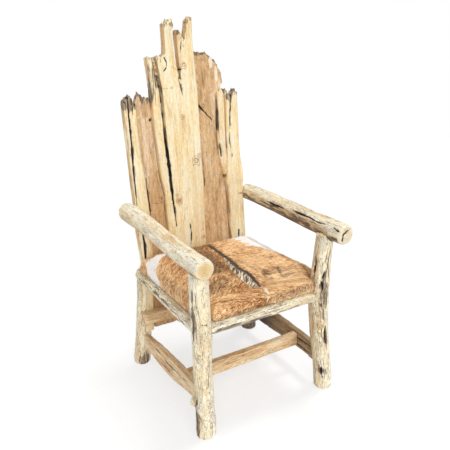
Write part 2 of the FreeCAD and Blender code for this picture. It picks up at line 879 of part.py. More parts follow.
def screw_from_behind(x, height, head_behind, tip_behind):
    head = V(x, head_behind, height)
    return make_screw(head, BACK * LEFT, head_behind - tip_behind, slab_thickness)


def make_staple(place, along, grow):
    """A staple driven up from below: a crown along its edge and two legs."""
    aside = V(-along.y, along.x, 0)
    wire = staple_wire + 2 * grow
    width = staple_width + 2 * grow
    middle = place + UP * (staple_wire / 2)
    shape = square_block(middle - along * (width / 2), along, aside, width, wire, wire)
    for end in (LEFT, 1):
        foot = place + along * (end * (staple_width - staple_wire) / 2)
        foot = foot + UP * ((staple_length + grow) / 2)
        start = foot - along * (wire / 2)
        leg = square_block(start, along, aside, wire, wire, staple_length + grow)
        shape = shape.fuse(leg)
    return shape.removeSplitter()


# Build

room = 4 * back_height
seat_flat = seat_underside - soft_gap
solids = {}
cuts = {}


def add(name, shape):
    solids[name] = shape


def cut_from(names, tools):
    for name in names:
        cuts.setdefault(name, []).extend(tools)


def build_front():
    for name, leg, arm_name, arm in (
        ("front_left_leg", front_left_leg, "left_arm", left_arm),
        ("front_right_leg", front_right_leg, "right_arm", right_arm),
    ):
        tenon, bore = leg_head(leg, arm)
        add(name, cut_all(leg.solid(), [arm.solid(scribe_gap)]).fuse(tenon))
        add(arm_name, arm.solid())
        cut_from([arm_name], [bore])


def lap_tool(side, slab_edge):
    """What a back leg loses for its slab: all inside the slab's edge."""
    bottom = back_bottom - tenon_gap
    heights = [back_bottom]
    heights += [row[0] for row in slab_edge if back_bottom < row[0] < back_leg_height]
    heights.append(back_leg_height)
    edge = [(edge_of(slab_edge, h) + side * tenon_gap, h) for h in heights]
    outline = [(0, bottom), (edge[0][0], bottom)] + edge[1:]
    outline += [(edge[-1][0], room), (0, room)]
    return back_block(outline, -room, lap_thickness + tenon_gap)


def build_back_legs():
    for name, leg, side, slab_edge in (
        ("back_left_leg", back_left_leg, LEFT, outer_left_edge),
        ("back_right_leg", back_right_leg, 1, outer_right_edge),
    ):
        add(name, cut_all(leg.solid(), [lap_tool(side, slab_edge)]))


def long_check():
    """A deep drying check down the centre slab, closed at the back."""
    line = centre_left_base + check_from_edge
    wires = []
    for share, depth in ((1, -overrun), (check_floor_share, check_depth)):
        left, right = [], []
        for height, drift, width in long_check_shares:
            level = back_bottom + height * back_height
            middle = line + drift * seam_drift
            half = width * share * check_width / 2
            left.append((middle - half, level))
            right.append((middle + half, level))
        wires.append(polygon([back_point(x, depth, h) for x, h in left + right[::-1]]))
    return loft(wires)


def build_boards():
    for name, board in boards.items():
        add(name, board.solid())
    cut_from(["centre_slab"], [long_check()])
    reach = back_left_of_middle + sum(widths)
    for name in ("outer_left_slab", "outer_right_slab"):
        shoulder = back_bar(
            -reach, reach, 0, back_leg_height + tenon_gap, lap_thickness, slab_thickness + overrun,
        )
        cut_from([name], [shoulder])


def build_rails():
    front_start = front_left_leg.at(front_rail_height)[0]
    front_end = front_right_leg.at(front_rail_height)[0]
    rail, bores = make_rail(
        front_start, front_end, front_rail_shares, "x", (front_left_leg, front_right_leg),
    )
    add("front_seat_rail", rail)
    cut_from(["front_left_leg"], bores[:1])
    cut_from(["front_right_leg"], bores[1:])
    for name, side, front_leg, back_leg, slab_edge in (
        ("left", LEFT, front_left_leg, back_left_leg, outer_left_edge),
        ("right", 1, front_right_leg, back_right_leg, outer_right_edge),
    ):
        start = front_leg.at(side_rail_front_height)[0]
        end = rear_rail_place(side, back_leg, slab_edge)
        rail, bores = make_rail(start, end, side_rail_shares, "y", (front_leg, back_leg))
        add(name + "_seat_rail", rail)
        cut_from(["front_" + name + "_leg"], bores[:1])
        cut_from(["back_" + name + "_leg"], bores[1:])


def build_stretchers():
    root, way = make_branch_stub(front_left_leg, back_left_leg)
    solids["front_left_leg"] = solids["front_left_leg"].fuse(branch_cone(root, way, 0))
    left_hull = front_left_leg.solid(scribe_gap).fuse(branch_cone(root, way, scribe_gap))
    lines = []
    right_hull = front_right_leg.solid(scribe_gap)
    for name, side, shares, front_leg, back_leg, hull in (
        ("left", LEFT, left_stretcher_shares, front_left_leg, back_left_leg, left_hull),
        ("right", 1, right_stretcher_shares, front_right_leg, back_right_leg, right_hull),
    ):
        body, mortises = make_stretcher(side, shares, front_leg, back_leg, hull)
        add(name + "_stretcher", body)
        cut_from(["front_" + name + "_leg"], mortises[:1])
        cut_from(["back_" + name + "_leg"], mortises[1:])
        lines.append(stretcher_line(front_leg, back_leg))
    body, mortise = make_cross_stretcher(lines)
    add("cross_stretcher", body)
    cut_from(["left_stretcher", "right_stretcher"], [mortise])


def build_bars_and_battens():
    lower = back_bar(
        -lower_bar_left_out, lower_bar_right_out, lower_bar_bottom,
        lower_bar_bottom + bar_height, -bar_depth, -tenon_gap,
    )
    add("lower_back_bar", lower.makeChamfer(bar_easing, lower.Edges))
    housing = back_bar(
        -lower_bar_left_out - scribe_gap, lower_bar_right_out + scribe_gap,
        lower_bar_bottom - scribe_gap, lower_bar_bottom + bar_height + scribe_gap,
        -bar_depth - overrun, 0,
    )
    cut_from(["back_left_leg", "back_right_leg"], [housing])
    inner = []
    for side, leg, slab_edge in (
        (LEFT, back_left_leg, outer_left_edge), (1, back_right_leg, outer_right_edge),
    ):
        rail = rear_rail_place(side, leg, slab_edge)
        inner.append(rail.x - side * (seat_rail_diameter / 2 + rear_rail_side_gap))
    rear = back_bar(
        inner[0], inner[1], seat_flat - bar_height, seat_flat, -bar_depth, -tenon_gap,
    )
    add("rear_seat_rail", rear.makeChamfer(bar_easing, rear.Edges))
    for name, middle, inset in (
        ("lower_batten", lower_batten_middle, lower_batten_end_inset),
        ("middle_batten", middle_batten_middle, batten_end_inset),
        ("upper_batten", upper_batten_middle, batten_end_inset),
    ):
        batten = back_bar(
            edge_of(outer_left_edge, middle) + inset, edge_of(outer_right_edge, middle) - inset,
            middle - batten_height / 2, middle + batten_height / 2,
            slab_thickness + tenon_gap, slab_thickness + batten_thickness,
        )
        add(name, batten.makeChamfer(bar_easing, batten.Edges))


def build_arm_seats():
    """Each arm is flattened over the edge of its slab and doweled to it."""
    dowels = []
    for name, arm, side, slab, slab_edge in (
        ("left_arm", left_arm, LEFT, "outer_left_slab", outer_left_edge),
        ("right_arm", right_arm, 1, "outer_right_slab", outer_right_edge),
    ):
        low = arm_rear_height - left_arm_diameter
        high = arm_rear_height + left_arm_diameter
        edge = edge_of(slab_edge, arm_rear_height) + side * scribe_gap
        seat = back_bar(min(edge, 0), max(edge, 0), low, high, -scribe_gap, room)
        cut_from([name], [seat])
        centre, radius = arm.at(arm_rear_behind)
        middle = back_point(edge, slab_thickness / 2, arm_rear_height)
        middle.y = min(middle.y, arm_rear_behind - dowel_diameter)
        start = middle - RIGHT * (side * dowel_length / 2)
        way = RIGHT * side
        dowels.append(cylinder(dowel_diameter / 2, start, way, dowel_length))
        hole = cylinder(
            dowel_diameter / 2 + fastener_gap, start - way * tenon_end_gap, way,
            dowel_length + 2 * tenon_end_gap,
        )
        cut_from([name, slab], [hole])
    add("arm_dowels", Part.makeCompound(dowels))


def build_seat():
    board, foam, hide = make_seat()
    add("seat_board", board)
    add("seat_foam", foam)
    add("hide_cover", hide)


def build_back_screws():
    screws = []
    for name, middle, crossed in (
        ("lower_batten", lower_batten_middle, ("left_plank", "centre_slab", "right_plank")),
        ("middle_batten", middle_batten_middle, (
            "outer_left_slab", "left_plank", "centre_slab", "right_plank", "outer_right_slab",
        )),
        ("upper_batten", upper_batten_middle, tuple(boards)),
    ):
        head = back_point(0, slab_thickness + batten_thickness, middle).y
        for board_name in crossed:
            board = boards[board_name]
            shares = centre_screw_shares if board_name == "centre_slab" else (0,)
            for share in shares:
                x = board.middle(middle) + share * centre_slab_width
                screw, hole = screw_from_behind(x, middle, head, head - batten_screw_length)
                screws.append(screw)
                cut_from([name, board_name], [hole])
    add("batten_screws", Part.makeCompound(screws))


def build_bar_screws():
    screws = []
    for name, middle in (
        ("lower_back_bar", lower_bar_bottom + bar_height / 2),
        ("rear_seat_rail", seat_flat - bar_height / 2),
    ):
        for share in centre_screw_shares:
            x = boards["centre_slab"].middle(middle) + share * centre_slab_width
            head = back_point(x, slab_thickness, middle).y
            tip = back_point(x, bar_screw_cover - bar_depth, middle).y
            screw, hole = screw_from_behind(x, middle, head, tip)
            screws.append(screw)
            cut_from([name, "centre_slab"], [hole])
    middle = lower_bar_bottom + bar_height / 2
    for name, leg, x in (
        ("back_left_leg", back_left_leg, screw_end_distance - lower_bar_left_out),
        ("back_right_leg", back_right_leg, lower_bar_right_out - screw_end_distance),
    ):
        head = where_it_leaves(leg, V(x, leg.at(middle)[0].y, middle), BACK).y
        tip = back_point(x, bar_screw_cover - bar_depth, middle).y
        screw, hole = screw_from_behind(x, middle, head - counterbore_depth, tip)
        screws.append(screw)
        cut_from([name, "lower_back_bar"], [hole])
    add("bar_screws", Part.makeCompound(screws))


def build_lap_screws():
    screws = []
    for name, leg, side, slab, slab_edge in (
        ("back_left_leg", back_left_leg, LEFT, "outer_left_slab", outer_left_edge),
        ("back_right_leg", back_right_leg, 1, "outer_right_slab", outer_right_edge),
    ):
        for share in lap_screw_shares:
            height = back_bottom + share * (back_leg_height - back_bottom)
            centre, radius = leg.at(height)
            x = (edge_of(slab_edge, height) + centre.x - side * radius) / 2
            head = where_it_leaves(leg, V(x, centre.y, height), BACK).y - counterbore_depth
            tip = back_point(x, lap_screw_cover, height).y
            screw, hole = screw_from_behind(x, height, head, tip)
            screws.append(screw)
            cut_from([name, slab], [hole])
    add("lap_screws", Part.makeCompound(screws))


def build_seat_screws():
    """One screw up through each rail into the seat board."""
    left = (front_left_leg, back_left_leg, LEFT, outer_left_edge)
    right = (front_right_leg, back_right_leg, 1, outer_right_edge)
    places = [("front_seat_rail", V(0, -front_legs_forward, 0))]
    rear_y = back_point(0, -bar_depth / 2, seat_flat).y
    places.append(("rear_seat_rail", V(0, rear_y, 0)))
    for name, (front_leg, back_leg, side, slab_edge) in (("left", left), ("right", right)):
        start = front_leg.at(side_rail_front_height)[0]
        end = rear_rail_place(side, back_leg, slab_edge)
        places.append((name + "_seat_rail", (start + end) / 2))
    board_high = seat_underside + hide_thickness + soft_gap + seat_board_thickness
    screws = []
    for name, place in places:
        place.z = board_high - seat_screw_cover - seat_screw_length
        screw, hole = make_screw(place, UP, seat_screw_length, seat_rail_diameter)
        screws.append(screw)
        cut_from([name, "seat_board", "hide_cover"], [hole])
    add("seat_screws", Part.makeCompound(screws))


def build_staples():
    """Staples along the four sides of the seat's underside."""
    inset = hide_turn_under * staple_inset_share
    side = cushion_half_width - cushion_draw_in - inset
    front = -front_legs_forward - cushion_front_lip + cushion_draw_in + inset
    rear = back_point(0, -cushion_back_gap, seat_underside).y - inset
    corner = front_left_leg_diameter + cushion_corner_radius
    places = []
    across = int((side - corner / 2) / staple_spacing)
    for step in range(-across, across + 1):
        places.append((V(step * staple_spacing, front, seat_underside), RIGHT))
        places.append((V(step * staple_spacing, rear, seat_underside), RIGHT))
    middle = (front + rear) / 2
    along = int((rear - middle - corner) / staple_spacing)
    for step in range(-along, along + 1):
        for x in (-side, side):
            places.append((V(x, middle + step * staple_spacing, seat_underside), BACK))
    add("hide_staples", Part.makeCompound([make_staple(p, way, 0) for p, way in places]))
    slots = [make_staple(p, way, fastener_gap) for p, way in places]
    cut_from(["hide_cover", "seat_board"], slots)


build_front()
build_back_legs()
build_boards()
build_rails()
build_stretchers()
build_bars_and_battens()
build_arm_seats()
build_seat()
build_back_screws()
build_bar_screws()
build_lap_screws()
build_seat_screws()
build_staples()
for name, tools in cuts.items():
    solids[name] = cut_all(solids[name], tools)

# The frame's origin is the middle of the chair's footprint
extent = Part.makeCompound(list(solids.values())).optimalBoundingBox(False, False)
centring = V(-extent.Center.x, -extent.Center.y, -extent.ZMin)
print("moved by", centring, "size", extent.XLength, extent.YLength, extent.ZLength)

os.makedirs("parts", exist_ok=True)
for name, shape in solids.items():
    shape.translate(centring)
    shape.exportStep(os.path.join("parts", name + ".step"))
    print(name, len(shape.Solids), shape.isValid(), round(shape.Volume))
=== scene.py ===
"""A rustic armchair of peeled logs and waney boards with a hide seat, dressed for rendering."""
import math

import bmesh
import bpy
import numpy as np
from mathutils import Matrix, Vector


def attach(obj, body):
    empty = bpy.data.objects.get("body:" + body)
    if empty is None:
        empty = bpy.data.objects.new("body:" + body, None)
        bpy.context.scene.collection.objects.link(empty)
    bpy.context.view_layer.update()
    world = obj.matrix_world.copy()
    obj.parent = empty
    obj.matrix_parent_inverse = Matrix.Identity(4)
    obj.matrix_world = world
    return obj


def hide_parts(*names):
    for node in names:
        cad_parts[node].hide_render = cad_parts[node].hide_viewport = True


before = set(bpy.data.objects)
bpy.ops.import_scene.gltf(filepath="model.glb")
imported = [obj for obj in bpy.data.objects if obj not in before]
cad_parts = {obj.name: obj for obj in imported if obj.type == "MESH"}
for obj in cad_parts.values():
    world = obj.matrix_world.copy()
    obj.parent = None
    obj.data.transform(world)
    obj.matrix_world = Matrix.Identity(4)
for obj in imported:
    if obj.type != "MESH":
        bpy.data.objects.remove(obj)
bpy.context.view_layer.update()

bl_info = {
    "name": "Log Chair",
    "version": (1, 0, 0),
    "blender": (4, 5, 0),
    "location": "View3D > Sidebar > Log Chair",
    "description": "Builds a rustic log armchair over its packed frame",
    "category": "Add Mesh",
}

# Tables give places and sizes in millimetres; everything else is in metres
MM = 0.001
ACROSS, ALONG, UP = 0, 1, 2
# Where the middle of the seat stands in the frame
SEAT_MIDDLE = np.array((-0.0066, -0.00945, 0.0))
# The leaning plane of the back: how far behind the seat's middle it is at one height
BACK_PLANE = 0.255
BACK_PLANE_HEIGHT = 0.450
BACK_LEAN = math.tan(math.radians(5.0))


# Noise and small geometry


def lattice(cells, seed):
    """A steady random number, 0 to 1, for each whole-numbered cell."""
    code = cells[:, 0] * 374761393 + cells[:, 1] * 668265263 + cells[:, 2] * 1442695041
    code = (code + seed * 362437) & 0xFFFFFFFF
    code = ((code ^ (code >> 13)) * 1274126177) & 0xFFFFFFFF
    return ((code ^ (code >> 16)) & 0xFFFF) / 65535.0


def noise(points, cell, seed):
    """Smooth noise, 0 to 1, whose cells have the given size on each axis."""
    places = points / np.array(cell)
    whole = np.floor(places).astype(np.int64)
    part = places - whole
    part = part * part * (3 - 2 * part)
    total = np.zeros(len(points))
    for corner in range(8):
        step = np.array((corner & 1, corner >> 1 & 1, corner >> 2 & 1))
        weight = np.prod(np.where(step, part, 1 - part), axis=1)
        total += weight * lattice(whole + step, seed)
    return total


def smooth(low, high, values):
    """0 below low, 1 above high, and an even turn between."""
    part = np.clip((values - low) / (high - low), 0, 1)
    return part * part * (3 - 2 * part)


def wrapped(angle):
    """The same angle between minus and plus half a turn."""
    return (angle + math.pi) % (2 * math.pi) - math.pi


def along_line(points, line):
    """Distance from points to a broken line, and how far along it, 0 to 1."""
    line = np.array(line, float)
    steps = np.linalg.norm(np.diff(line, axis=0), axis=1)
    ends = np.concatenate(([0], np.cumsum(steps)))
    best = np.full(len(points), 1e9)
    share = np.zeros(len(points))
    for first, last, start, length in zip(line, line[1:], ends, steps):
        way = (last - first) / length
        reach = np.clip((points - first) @ way, 0, length)
        gap = np.linalg.norm(points - first - reach[:, None] * way, axis=1)
        nearer = gap < best
        best[nearer] = gap[nearer]
        share[nearer] = ((start + reach) / ends[-1])[nearer]
    return best, share


def merged(node):
    """The shape of a CAD node, with its loose triangles joined."""
    shape = bmesh.new()
    shape.from_mesh(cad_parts[node].data)
    bmesh.ops.remove_doubles(shape, verts=shape.verts, dist=1e-6)
    return shape


def connected(start):
    """A vertex and all that edges join to it."""
    found, queue = {start}, [start]
    while queue:
        for edge in queue.pop().link_edges:
            for vert in edge.verts:
                if vert not in found:
                    found.add(vert)
                    queue.append(vert)
    return found


def new_piece(name, mesh):
    piece = bpy.data.objects.new(name, mesh)
    bpy.context.scene.collection.objects.link(piece)
    return piece


def as_piece(shape, name):
    """Turn a shape into a piece and let go of the shape."""
    mesh = bpy.data.meshes.new(name)
    shape.to_mesh(mesh)
    shape.free()
    return new_piece(name, mesh)


def work_in_modifiers(piece):
    """Turn the evaluated shape into the piece's plain mesh."""
    graph = bpy.context.evaluated_depsgraph_get()
    mesh = bpy.data.meshes.new_from_object(piece.evaluated_get(graph))
    piece.modifiers.clear()
    piece.data = mesh


def voxel_skin(piece, cell, rounding=0):
    """Wrap a piece in even quads and ease them a number of times."""
    skin = piece.modifiers.new("Skin", "REMESH")
    skin.mode = "VOXEL"
    skin.voxel_size = cell
    if rounding:
        ease = piece.modifiers.new("Ease", "SMOOTH")
        ease.factor = 0.5
        ease.iterations = rounding
    work_in_modifiers(piece)


def place_on_chair(piece, nodes, material):
    """Ride the frame in place of CAD nodes, with one finish."""
    piece.data.materials.clear()
    piece.data.materials.append(material)
    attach(piece, "root")
    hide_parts(*nodes)


def read_rows(items, key):
    """One row of three numbers for each item of a mesh."""
    values = np.empty(len(items) * 3)
    items.foreach_get(key, values)
    return values.reshape(-1, 3)


def read_places(mesh):
    return read_rows(mesh.vertices, "co")


def read_normals(mesh):
    return read_rows(mesh.vertex_normals, "vector")


def write_places(mesh, places):
    mesh.vertices.foreach_set("co", places.ravel())
    mesh.update()


def write_mark(mesh, name, values):
    """Keep one number, or one place, for each vertex as an attribute."""
    kind, key = ("FLOAT", "value") if values.ndim == 1 else ("FLOAT_VECTOR", "vector")
    attribute = mesh.attributes.new(name, kind, "POINT")
    attribute.data.foreach_set(key, np.ascontiguousarray(values, dtype=np.float32).ravel())


# Timber: each piece is carved in the axes of its own grain


class Timber:
    """The skin of one wooden piece, carved and marked along its grain."""

    def __init__(self, node, axis, cell, seed):
        self.node, self.axis, self.seed = node, axis, seed
        self.piece = as_piece(merged(node), "carved_" + node)
        voxel_skin(self.piece, cell, self.rounding)
        self.places = read_places(self.piece.data)
        self.normals = read_normals(self.piece.data)
        self.grain = self.grain_of(self.places)
        self.sink = np.zeros(len(self.places))
        marks = ("crack", "stain", "warm", "pale", "knot", "end")
        self.marks = {mark: np.zeros(len(self.places)) for mark in marks}

    def ripple(self, cell, step):
        """Noise along the grain, with its cell in millimetres."""
        return noise(self.grain, np.array(cell) * MM, self.seed + step)

    def raise_mark(self, mark, values):
        self.marks[mark] = np.maximum(self.marks[mark], values)

    def roughen(self, lump, ridge, fleck):
        """Swell and furrow the skin along the grain; sizes are depths."""
        self.sink -= lump * (self.ripple((45, 45, 130), 0) - 0.5) * 2
        self.sink += ridge * smooth(0.45, 0.95, self.ripple((11, 11, 160), 1))
        self.sink += fleck * smooth(0.6, 0.9, self.ripple((6, 6, 22), 2))

    def dress(self, cracks=(), knots=(), **patches):
        """Give the piece its cracks, its branch scars and its coloured stretches."""
        for row in cracks:
            self.split(*row)
        for row in knots:
            self.knot(*row)
        for mark, rows in patches.items():
            for row in rows:
                self.patch(mark, *row)

    def split(self, line, width, depth, ragged=0.5, dark=1.0):
        """A drying crack along a line of places, widest at its middle."""
        gap, share = self.beside(line)
        wander = self.ripple((500, 500, 18), len(line)) - 0.5
        bulge = np.sqrt(np.clip(4 * share * (1 - share), 0.12, 1))
        half = width * MM / 2 * (1 + ragged * wander * 2) * bulge
        mask = 1 - smooth(0.55, 1.25, gap / half)
        self.sink += depth * MM * mask
        # The crack mark's dark colour is painted shade inside the opening
        self.raise_mark("crack", dark * mask)
        self.raise_mark("stain", (1 - smooth(1.0, 3.0, gap / half)) * 0.45)

    def knot(self, place, size, rise, dark=0.6):
        """A branch scar: a low boss with rings, darkest at its middle."""
        gap, _ = self.beside([place])
        ragged = self.ripple((8, 8, 12), 50) - 0.5
        inside = np.clip(1 - gap / (size * MM) * (1 + 0.8 * ragged), 0, 1)
        self.sink -= rise * MM * (np.sin(inside * math.pi) - 0.6 * smooth(0.7, 1.0, inside))
        self.raise_mark("knot", inside)
        self.raise_mark("stain", dark * smooth(0.6, 1.0, inside) * 0.7)

    def patch(self, mark, place, across, along, strength):
        """Mark a soft-edged stretch round a place."""
        offset = (self.flat(place) - self.flat_of(place)) / (np.array((across, along)) * MM)
        gap = np.linalg.norm(offset, axis=1) + (self.ripple((8, 8, 50), 9) - 0.5) * 0.7
        mask = strength * (1 - smooth(0.55, 1.15, gap))
        self.marks[mark] = np.clip(self.marks[mark] + mask, 0, 1)

    def nick(self, line, width, depth):
        """An opening along a line of places in space, painted black as shade inside it."""
        gap, _ = along_line(self.places, np.array(line) * MM)
        wander = noise(self.places, (0.006, 0.006, 0.006), self.seed + 5) - 0.5
        mask = 1 - smooth(0.55, 1.25, gap / (width * MM / 2 * (1 + wander)))
        self.sink += depth * MM * mask
        self.raise_mark("crack", mask)

    def beside(self, line):
        """Distance over the skin from a line or one place, and the share along it."""
        flat = self.flat(line[0])
        points = [self.flat_of(place, line[0]) for place in line]
        if len(points) == 1:
            return np.linalg.norm(flat - points[0], axis=1), np.full(len(flat), 0.5)
        return along_line(flat, points)

    def finish(self, slot, material):
        """Write the carved skin and its marks to the piece's mesh."""
        mesh = self.piece.data
        carved = self.places - self.normals * self.sink[:, None]
        carved[:, UP] = np.maximum(carved[:, UP], 0.0)
        write_places(mesh, carved)
        write_mark(mesh, "grain", self.grain)
        for mark, values in self.marks.items():
            write_mark(mesh, mark, values)
        mesh.shade_smooth()
        place_on_chair(self.piece, [self.node], material)


class Log(Timber):
    """A log, unrolled round its own bowed middle line."""

    rounding = 10
    bins = 14

    def __init__(self, node, axis, cell, seed):
        self.sides = [side for side in range(3) if side != axis]
        self.middle = self.middle_line(node, axis)
        super().__init__(node, axis, cell, seed)
        self.girth = np.median(np.linalg.norm(self.grain[:, :2], axis=1))

    def middle_line(self, node, axis):
        """The middle of the log's girth at even steps along it."""
        shape = as_piece(merged(node), "measure")
        voxel_skin(shape, 0.006)
        places = read_places(shape.data)
        bpy.data.objects.remove(shape)
        along = places[:, axis]
        edges = np.linspace(along.min(), along.max(), self.bins + 1)
        rows = []
        for first, last in zip(edges, edges[1:]):
            ring = places[(along >= first) & (along <= last)]
            rows.append(((first + last) / 2, *np.median(ring[:, self.sides], axis=0)))
        return np.array(rows).T

    def grain_of(self, places):
        along = places[:, self.axis]
        steps, *centres = self.middle
        round_it = [
            places[:, side] - np.interp(along, steps, line)
            for side, line in zip(self.sides, centres)
        ]
        return np.stack((*round_it, along), axis=1)

    def flat(self, near):
        """Unrolled skin: the arc from the angle of near, and the way along."""
        spot = self.grain_of(np.array([near]) * MM)[0]
        angle = np.arctan2(self.grain[:, 1], self.grain[:, 0]) - math.atan2(spot[1], spot[0])
        return np.stack((wrapped(angle) * self.girth, self.grain[:, 2]), axis=1)

    def flat_of(self, place, near=None):
        first, spot = self.grain_of(np.array([near or place, place]) * MM)
        turn = math.atan2(spot[1], spot[0]) - math.atan2(first[1], first[0])
        return np.array((wrapped(turn) * self.girth, spot[2]))

    def dress(self, underside=None, sawn=True, nicks=(), **common):
        super().dress(**common)
        if underside:
            self.redden_and_shade_underside(*underside)
        if sawn:
            self.saw_ends()
        for row in nicks:
            self.nick(*row)

    def redden_and_shade_underside(self, warm, stain):
        """Redder wood where the log faces down, and darker there as painted shade."""
        ragged = self.ripple((12, 12, 40), 40) - 0.5
        low = 1 - smooth(-0.5, 0.3, self.normals[:, UP] + ragged * 0.9)
        self.raise_mark("warm", warm * low)
        self.raise_mark("stain", stain * low)

    def saw_ends(self):
        """Mark the sawn faces, with no furrows on them."""
        self.marks["end"] = smooth(0.6, 0.9, np.abs(self.normals[:, self.axis]))
        self.sink *= 1 - self.marks["end"]


class Board(Timber):
    """A board of the leaning back, seen square to its face."""

    rounding = 3

    def grain_of(self, places):
        plane = BACK_PLANE + SEAT_MIDDLE[1] + (places[:, UP] - BACK_PLANE_HEIGHT) * BACK_LEAN
        return np.stack((places[:, 0], places[:, 1] - plane, places[:, 2]), axis=1)

    def flat(self, near):
        return self.grain[:, (0, 2)]

    def flat_of(self, place, near=None):
        return np.array((place[0] * MM + SEAT_MIDDLE[0], place[1] * MM))

    def beside(self, line):
        """As for any timber, but only on the front face."""
        gap, share = super().beside(line)
        return gap + smooth(0.2, 0.7, self.normals[:, ALONG]), share

    def dress(self, sides, top, drawn=(), fuller=None, **common):
        self.darken_sides(sides)
        super().dress(**common)
        self.break_top(*top)
        for row in drawn:
            self.draw_edge(*row)
        if fuller:
            self.swell_stretch(*fuller)

    def darken_sides(self, strength):
        """Darker, warmer wood down the waney edges."""
        side = smooth(0.55, 0.9, np.abs(self.normals[:, ACROSS]))
        ragged = self.ripple((20, 20, 80), 30)
        self.raise_mark("warm", side * smooth(0.25, 0.6, ragged))
        self.raise_mark("stain", strength * side * smooth(0.5, 0.8, ragged))

    def break_top(self, drop, strength, depth):
        """Grey wood frayed into splinters along the board's broken top."""
        drop = drop * MM
        across, up = self.grain[:, 0], self.grain[:, 2]
        column = np.floor((across - across.min()) / (4 * MM)).astype(int)
        tops = np.full(column.max() + 1, -1.0)
        np.maximum.at(tops, column, up)
        below = tops[column] - up
        ragged = self.ripple((12, 20, 50), 20) - 0.5
        mask = 1 - smooth(drop * 0.25, drop, below + drop * 0.8 * ragged)
        self.raise_mark("stain", strength * mask)
        spikes = self.ripple((5, 12, 500), 21) - 0.6
        self.places[:, UP] += 2 * depth * MM * spikes * (1 - smooth(0.0, 0.03, below))
        self.sink += 3 * MM * mask * smooth(0.4, 0.8, self.ripple((6, 10, 40), 22))

    def draw_edge(self, held, edge, heights, shifts):
        """Move a long edge sideways by a shift at each height; held stays put."""
        share = smooth(held * MM, edge * MM, self.grain[:, 0])
        height = self.grain[:, 2] / MM
        self.places[:, ACROSS] += np.interp(height, heights, shifts) * MM * share

    def swell_stretch(self, low, high, depth):
        """Fill out a stretch whose thin edge the skin's rounding drew in."""
        up = self.grain[:, 2] / MM
        self.sink -= depth * MM * smooth(low - 20, low, up) * (1 - smooth(high, high + 80, up))


class Bar(Timber):
    """A sawn bar or stretcher, with its grain along one axis."""

    rounding = 2

    def grain_of(self, places):
        return places[:, self.order()]

    def order(self):
        return [side for side in range(3) if side != self.axis] + [self.axis]

    def flat(self, near):
        return self.grain[:, 1:]

    def flat_of(self, place, near=None):
        return np.array(place)[self.order()[1:]] * MM

    def dress(self, dark_from=None, **common):
        super().dress(**common)
        # Painted shade from the seat: somewhat darker all over, and darker toward the rear
        if dark_from:
            rear = smooth(*dark_from, self.places[:, ALONG] / MM)
            self.raise_mark("crack", 0.25 + 0.42 * rear)


# Node trees


class Field:
    """A number that varies over a surface, written in plain arithmetic."""

    def __init__(self, nodes, socket):
        self.nodes, self.socket = nodes, socket

    def work(self, operation, *others):
        values = dict(enumerate((self, *others)))
        node = self.nodes.node("ShaderNodeMath", {"operation": operation}, values)
        return Field(self.nodes, node.outputs[0])

    def __add__(self, other):
        return self.work("ADD", other)

    __radd__ = __add__

    def __mul__(self, other):
        return self.work("MULTIPLY", other)

    __rmul__ = __mul__

    def __sub__(self, other):
        return self.work("SUBTRACT", other)

    def __rsub__(self, other):
        return self * -1 + other

    def sine(self):
        return self.work("SINE")

    def larger(self, other):
        return self.work("MAXIMUM", other)

    def smaller(self, other):
        return self.work("MINIMUM", other)

    def size(self):
        return self.work("ABSOLUTE")

    def between(self, low, high):
        """0 below low, 1 above high, smooth between; low may be the larger."""
        values = {0: self, 1: low, 2: high}
        node = self.nodes.node("ShaderNodeMapRange", {"interpolation_type": "SMOOTHSTEP"}, values)
        return Field(self.nodes, node.outputs[0])


class Nodes:
    """A node tree that is filled one node at a time."""

    def __init__(self, tree):
        self.tree = tree
        self.tree.nodes.clear()

    def node(self, kind, settings=None, sockets=None):
        """Add a node: its settings first, then values or links by socket."""
        node = self.tree.nodes.new(kind)
        for key, value in (settings or {}).items():
            setattr(node, key, value)
        for key, value in (sockets or {}).items():
            self.feed(node.inputs[key], value)
        return node

    def feed(self, socket, value):
        if isinstance(value, Field):
            value = value.socket
        if isinstance(value, bpy.types.NodeSocket):
            self.tree.links.new(value, socket)
        elif isinstance(value, (tuple, list)) and socket.type == "RGBA":
            socket.default_value = (*value[:3], 1.0)
        else:
            socket.default_value = value

    def seen(self):
        """1 for rays from the camera, also by way of a mirror or glass."""
        path = self.node("ShaderNodeLightPath")
        camera, mirror, glass = (
            Field(self, path.outputs[f"Is {ray} Ray"]) for ray in ("Camera", "Glossy", "Transmission")
        )
        return camera.larger(mirror).larger(glass)

    def mix(self, share, first, second):
        """A shader that turns from one to another by a share."""
        sockets = {0: share, 1: first.outputs[0], 2: second.outputs[0]}
        return self.node("ShaderNodeMixShader", None, sockets).outputs[0]


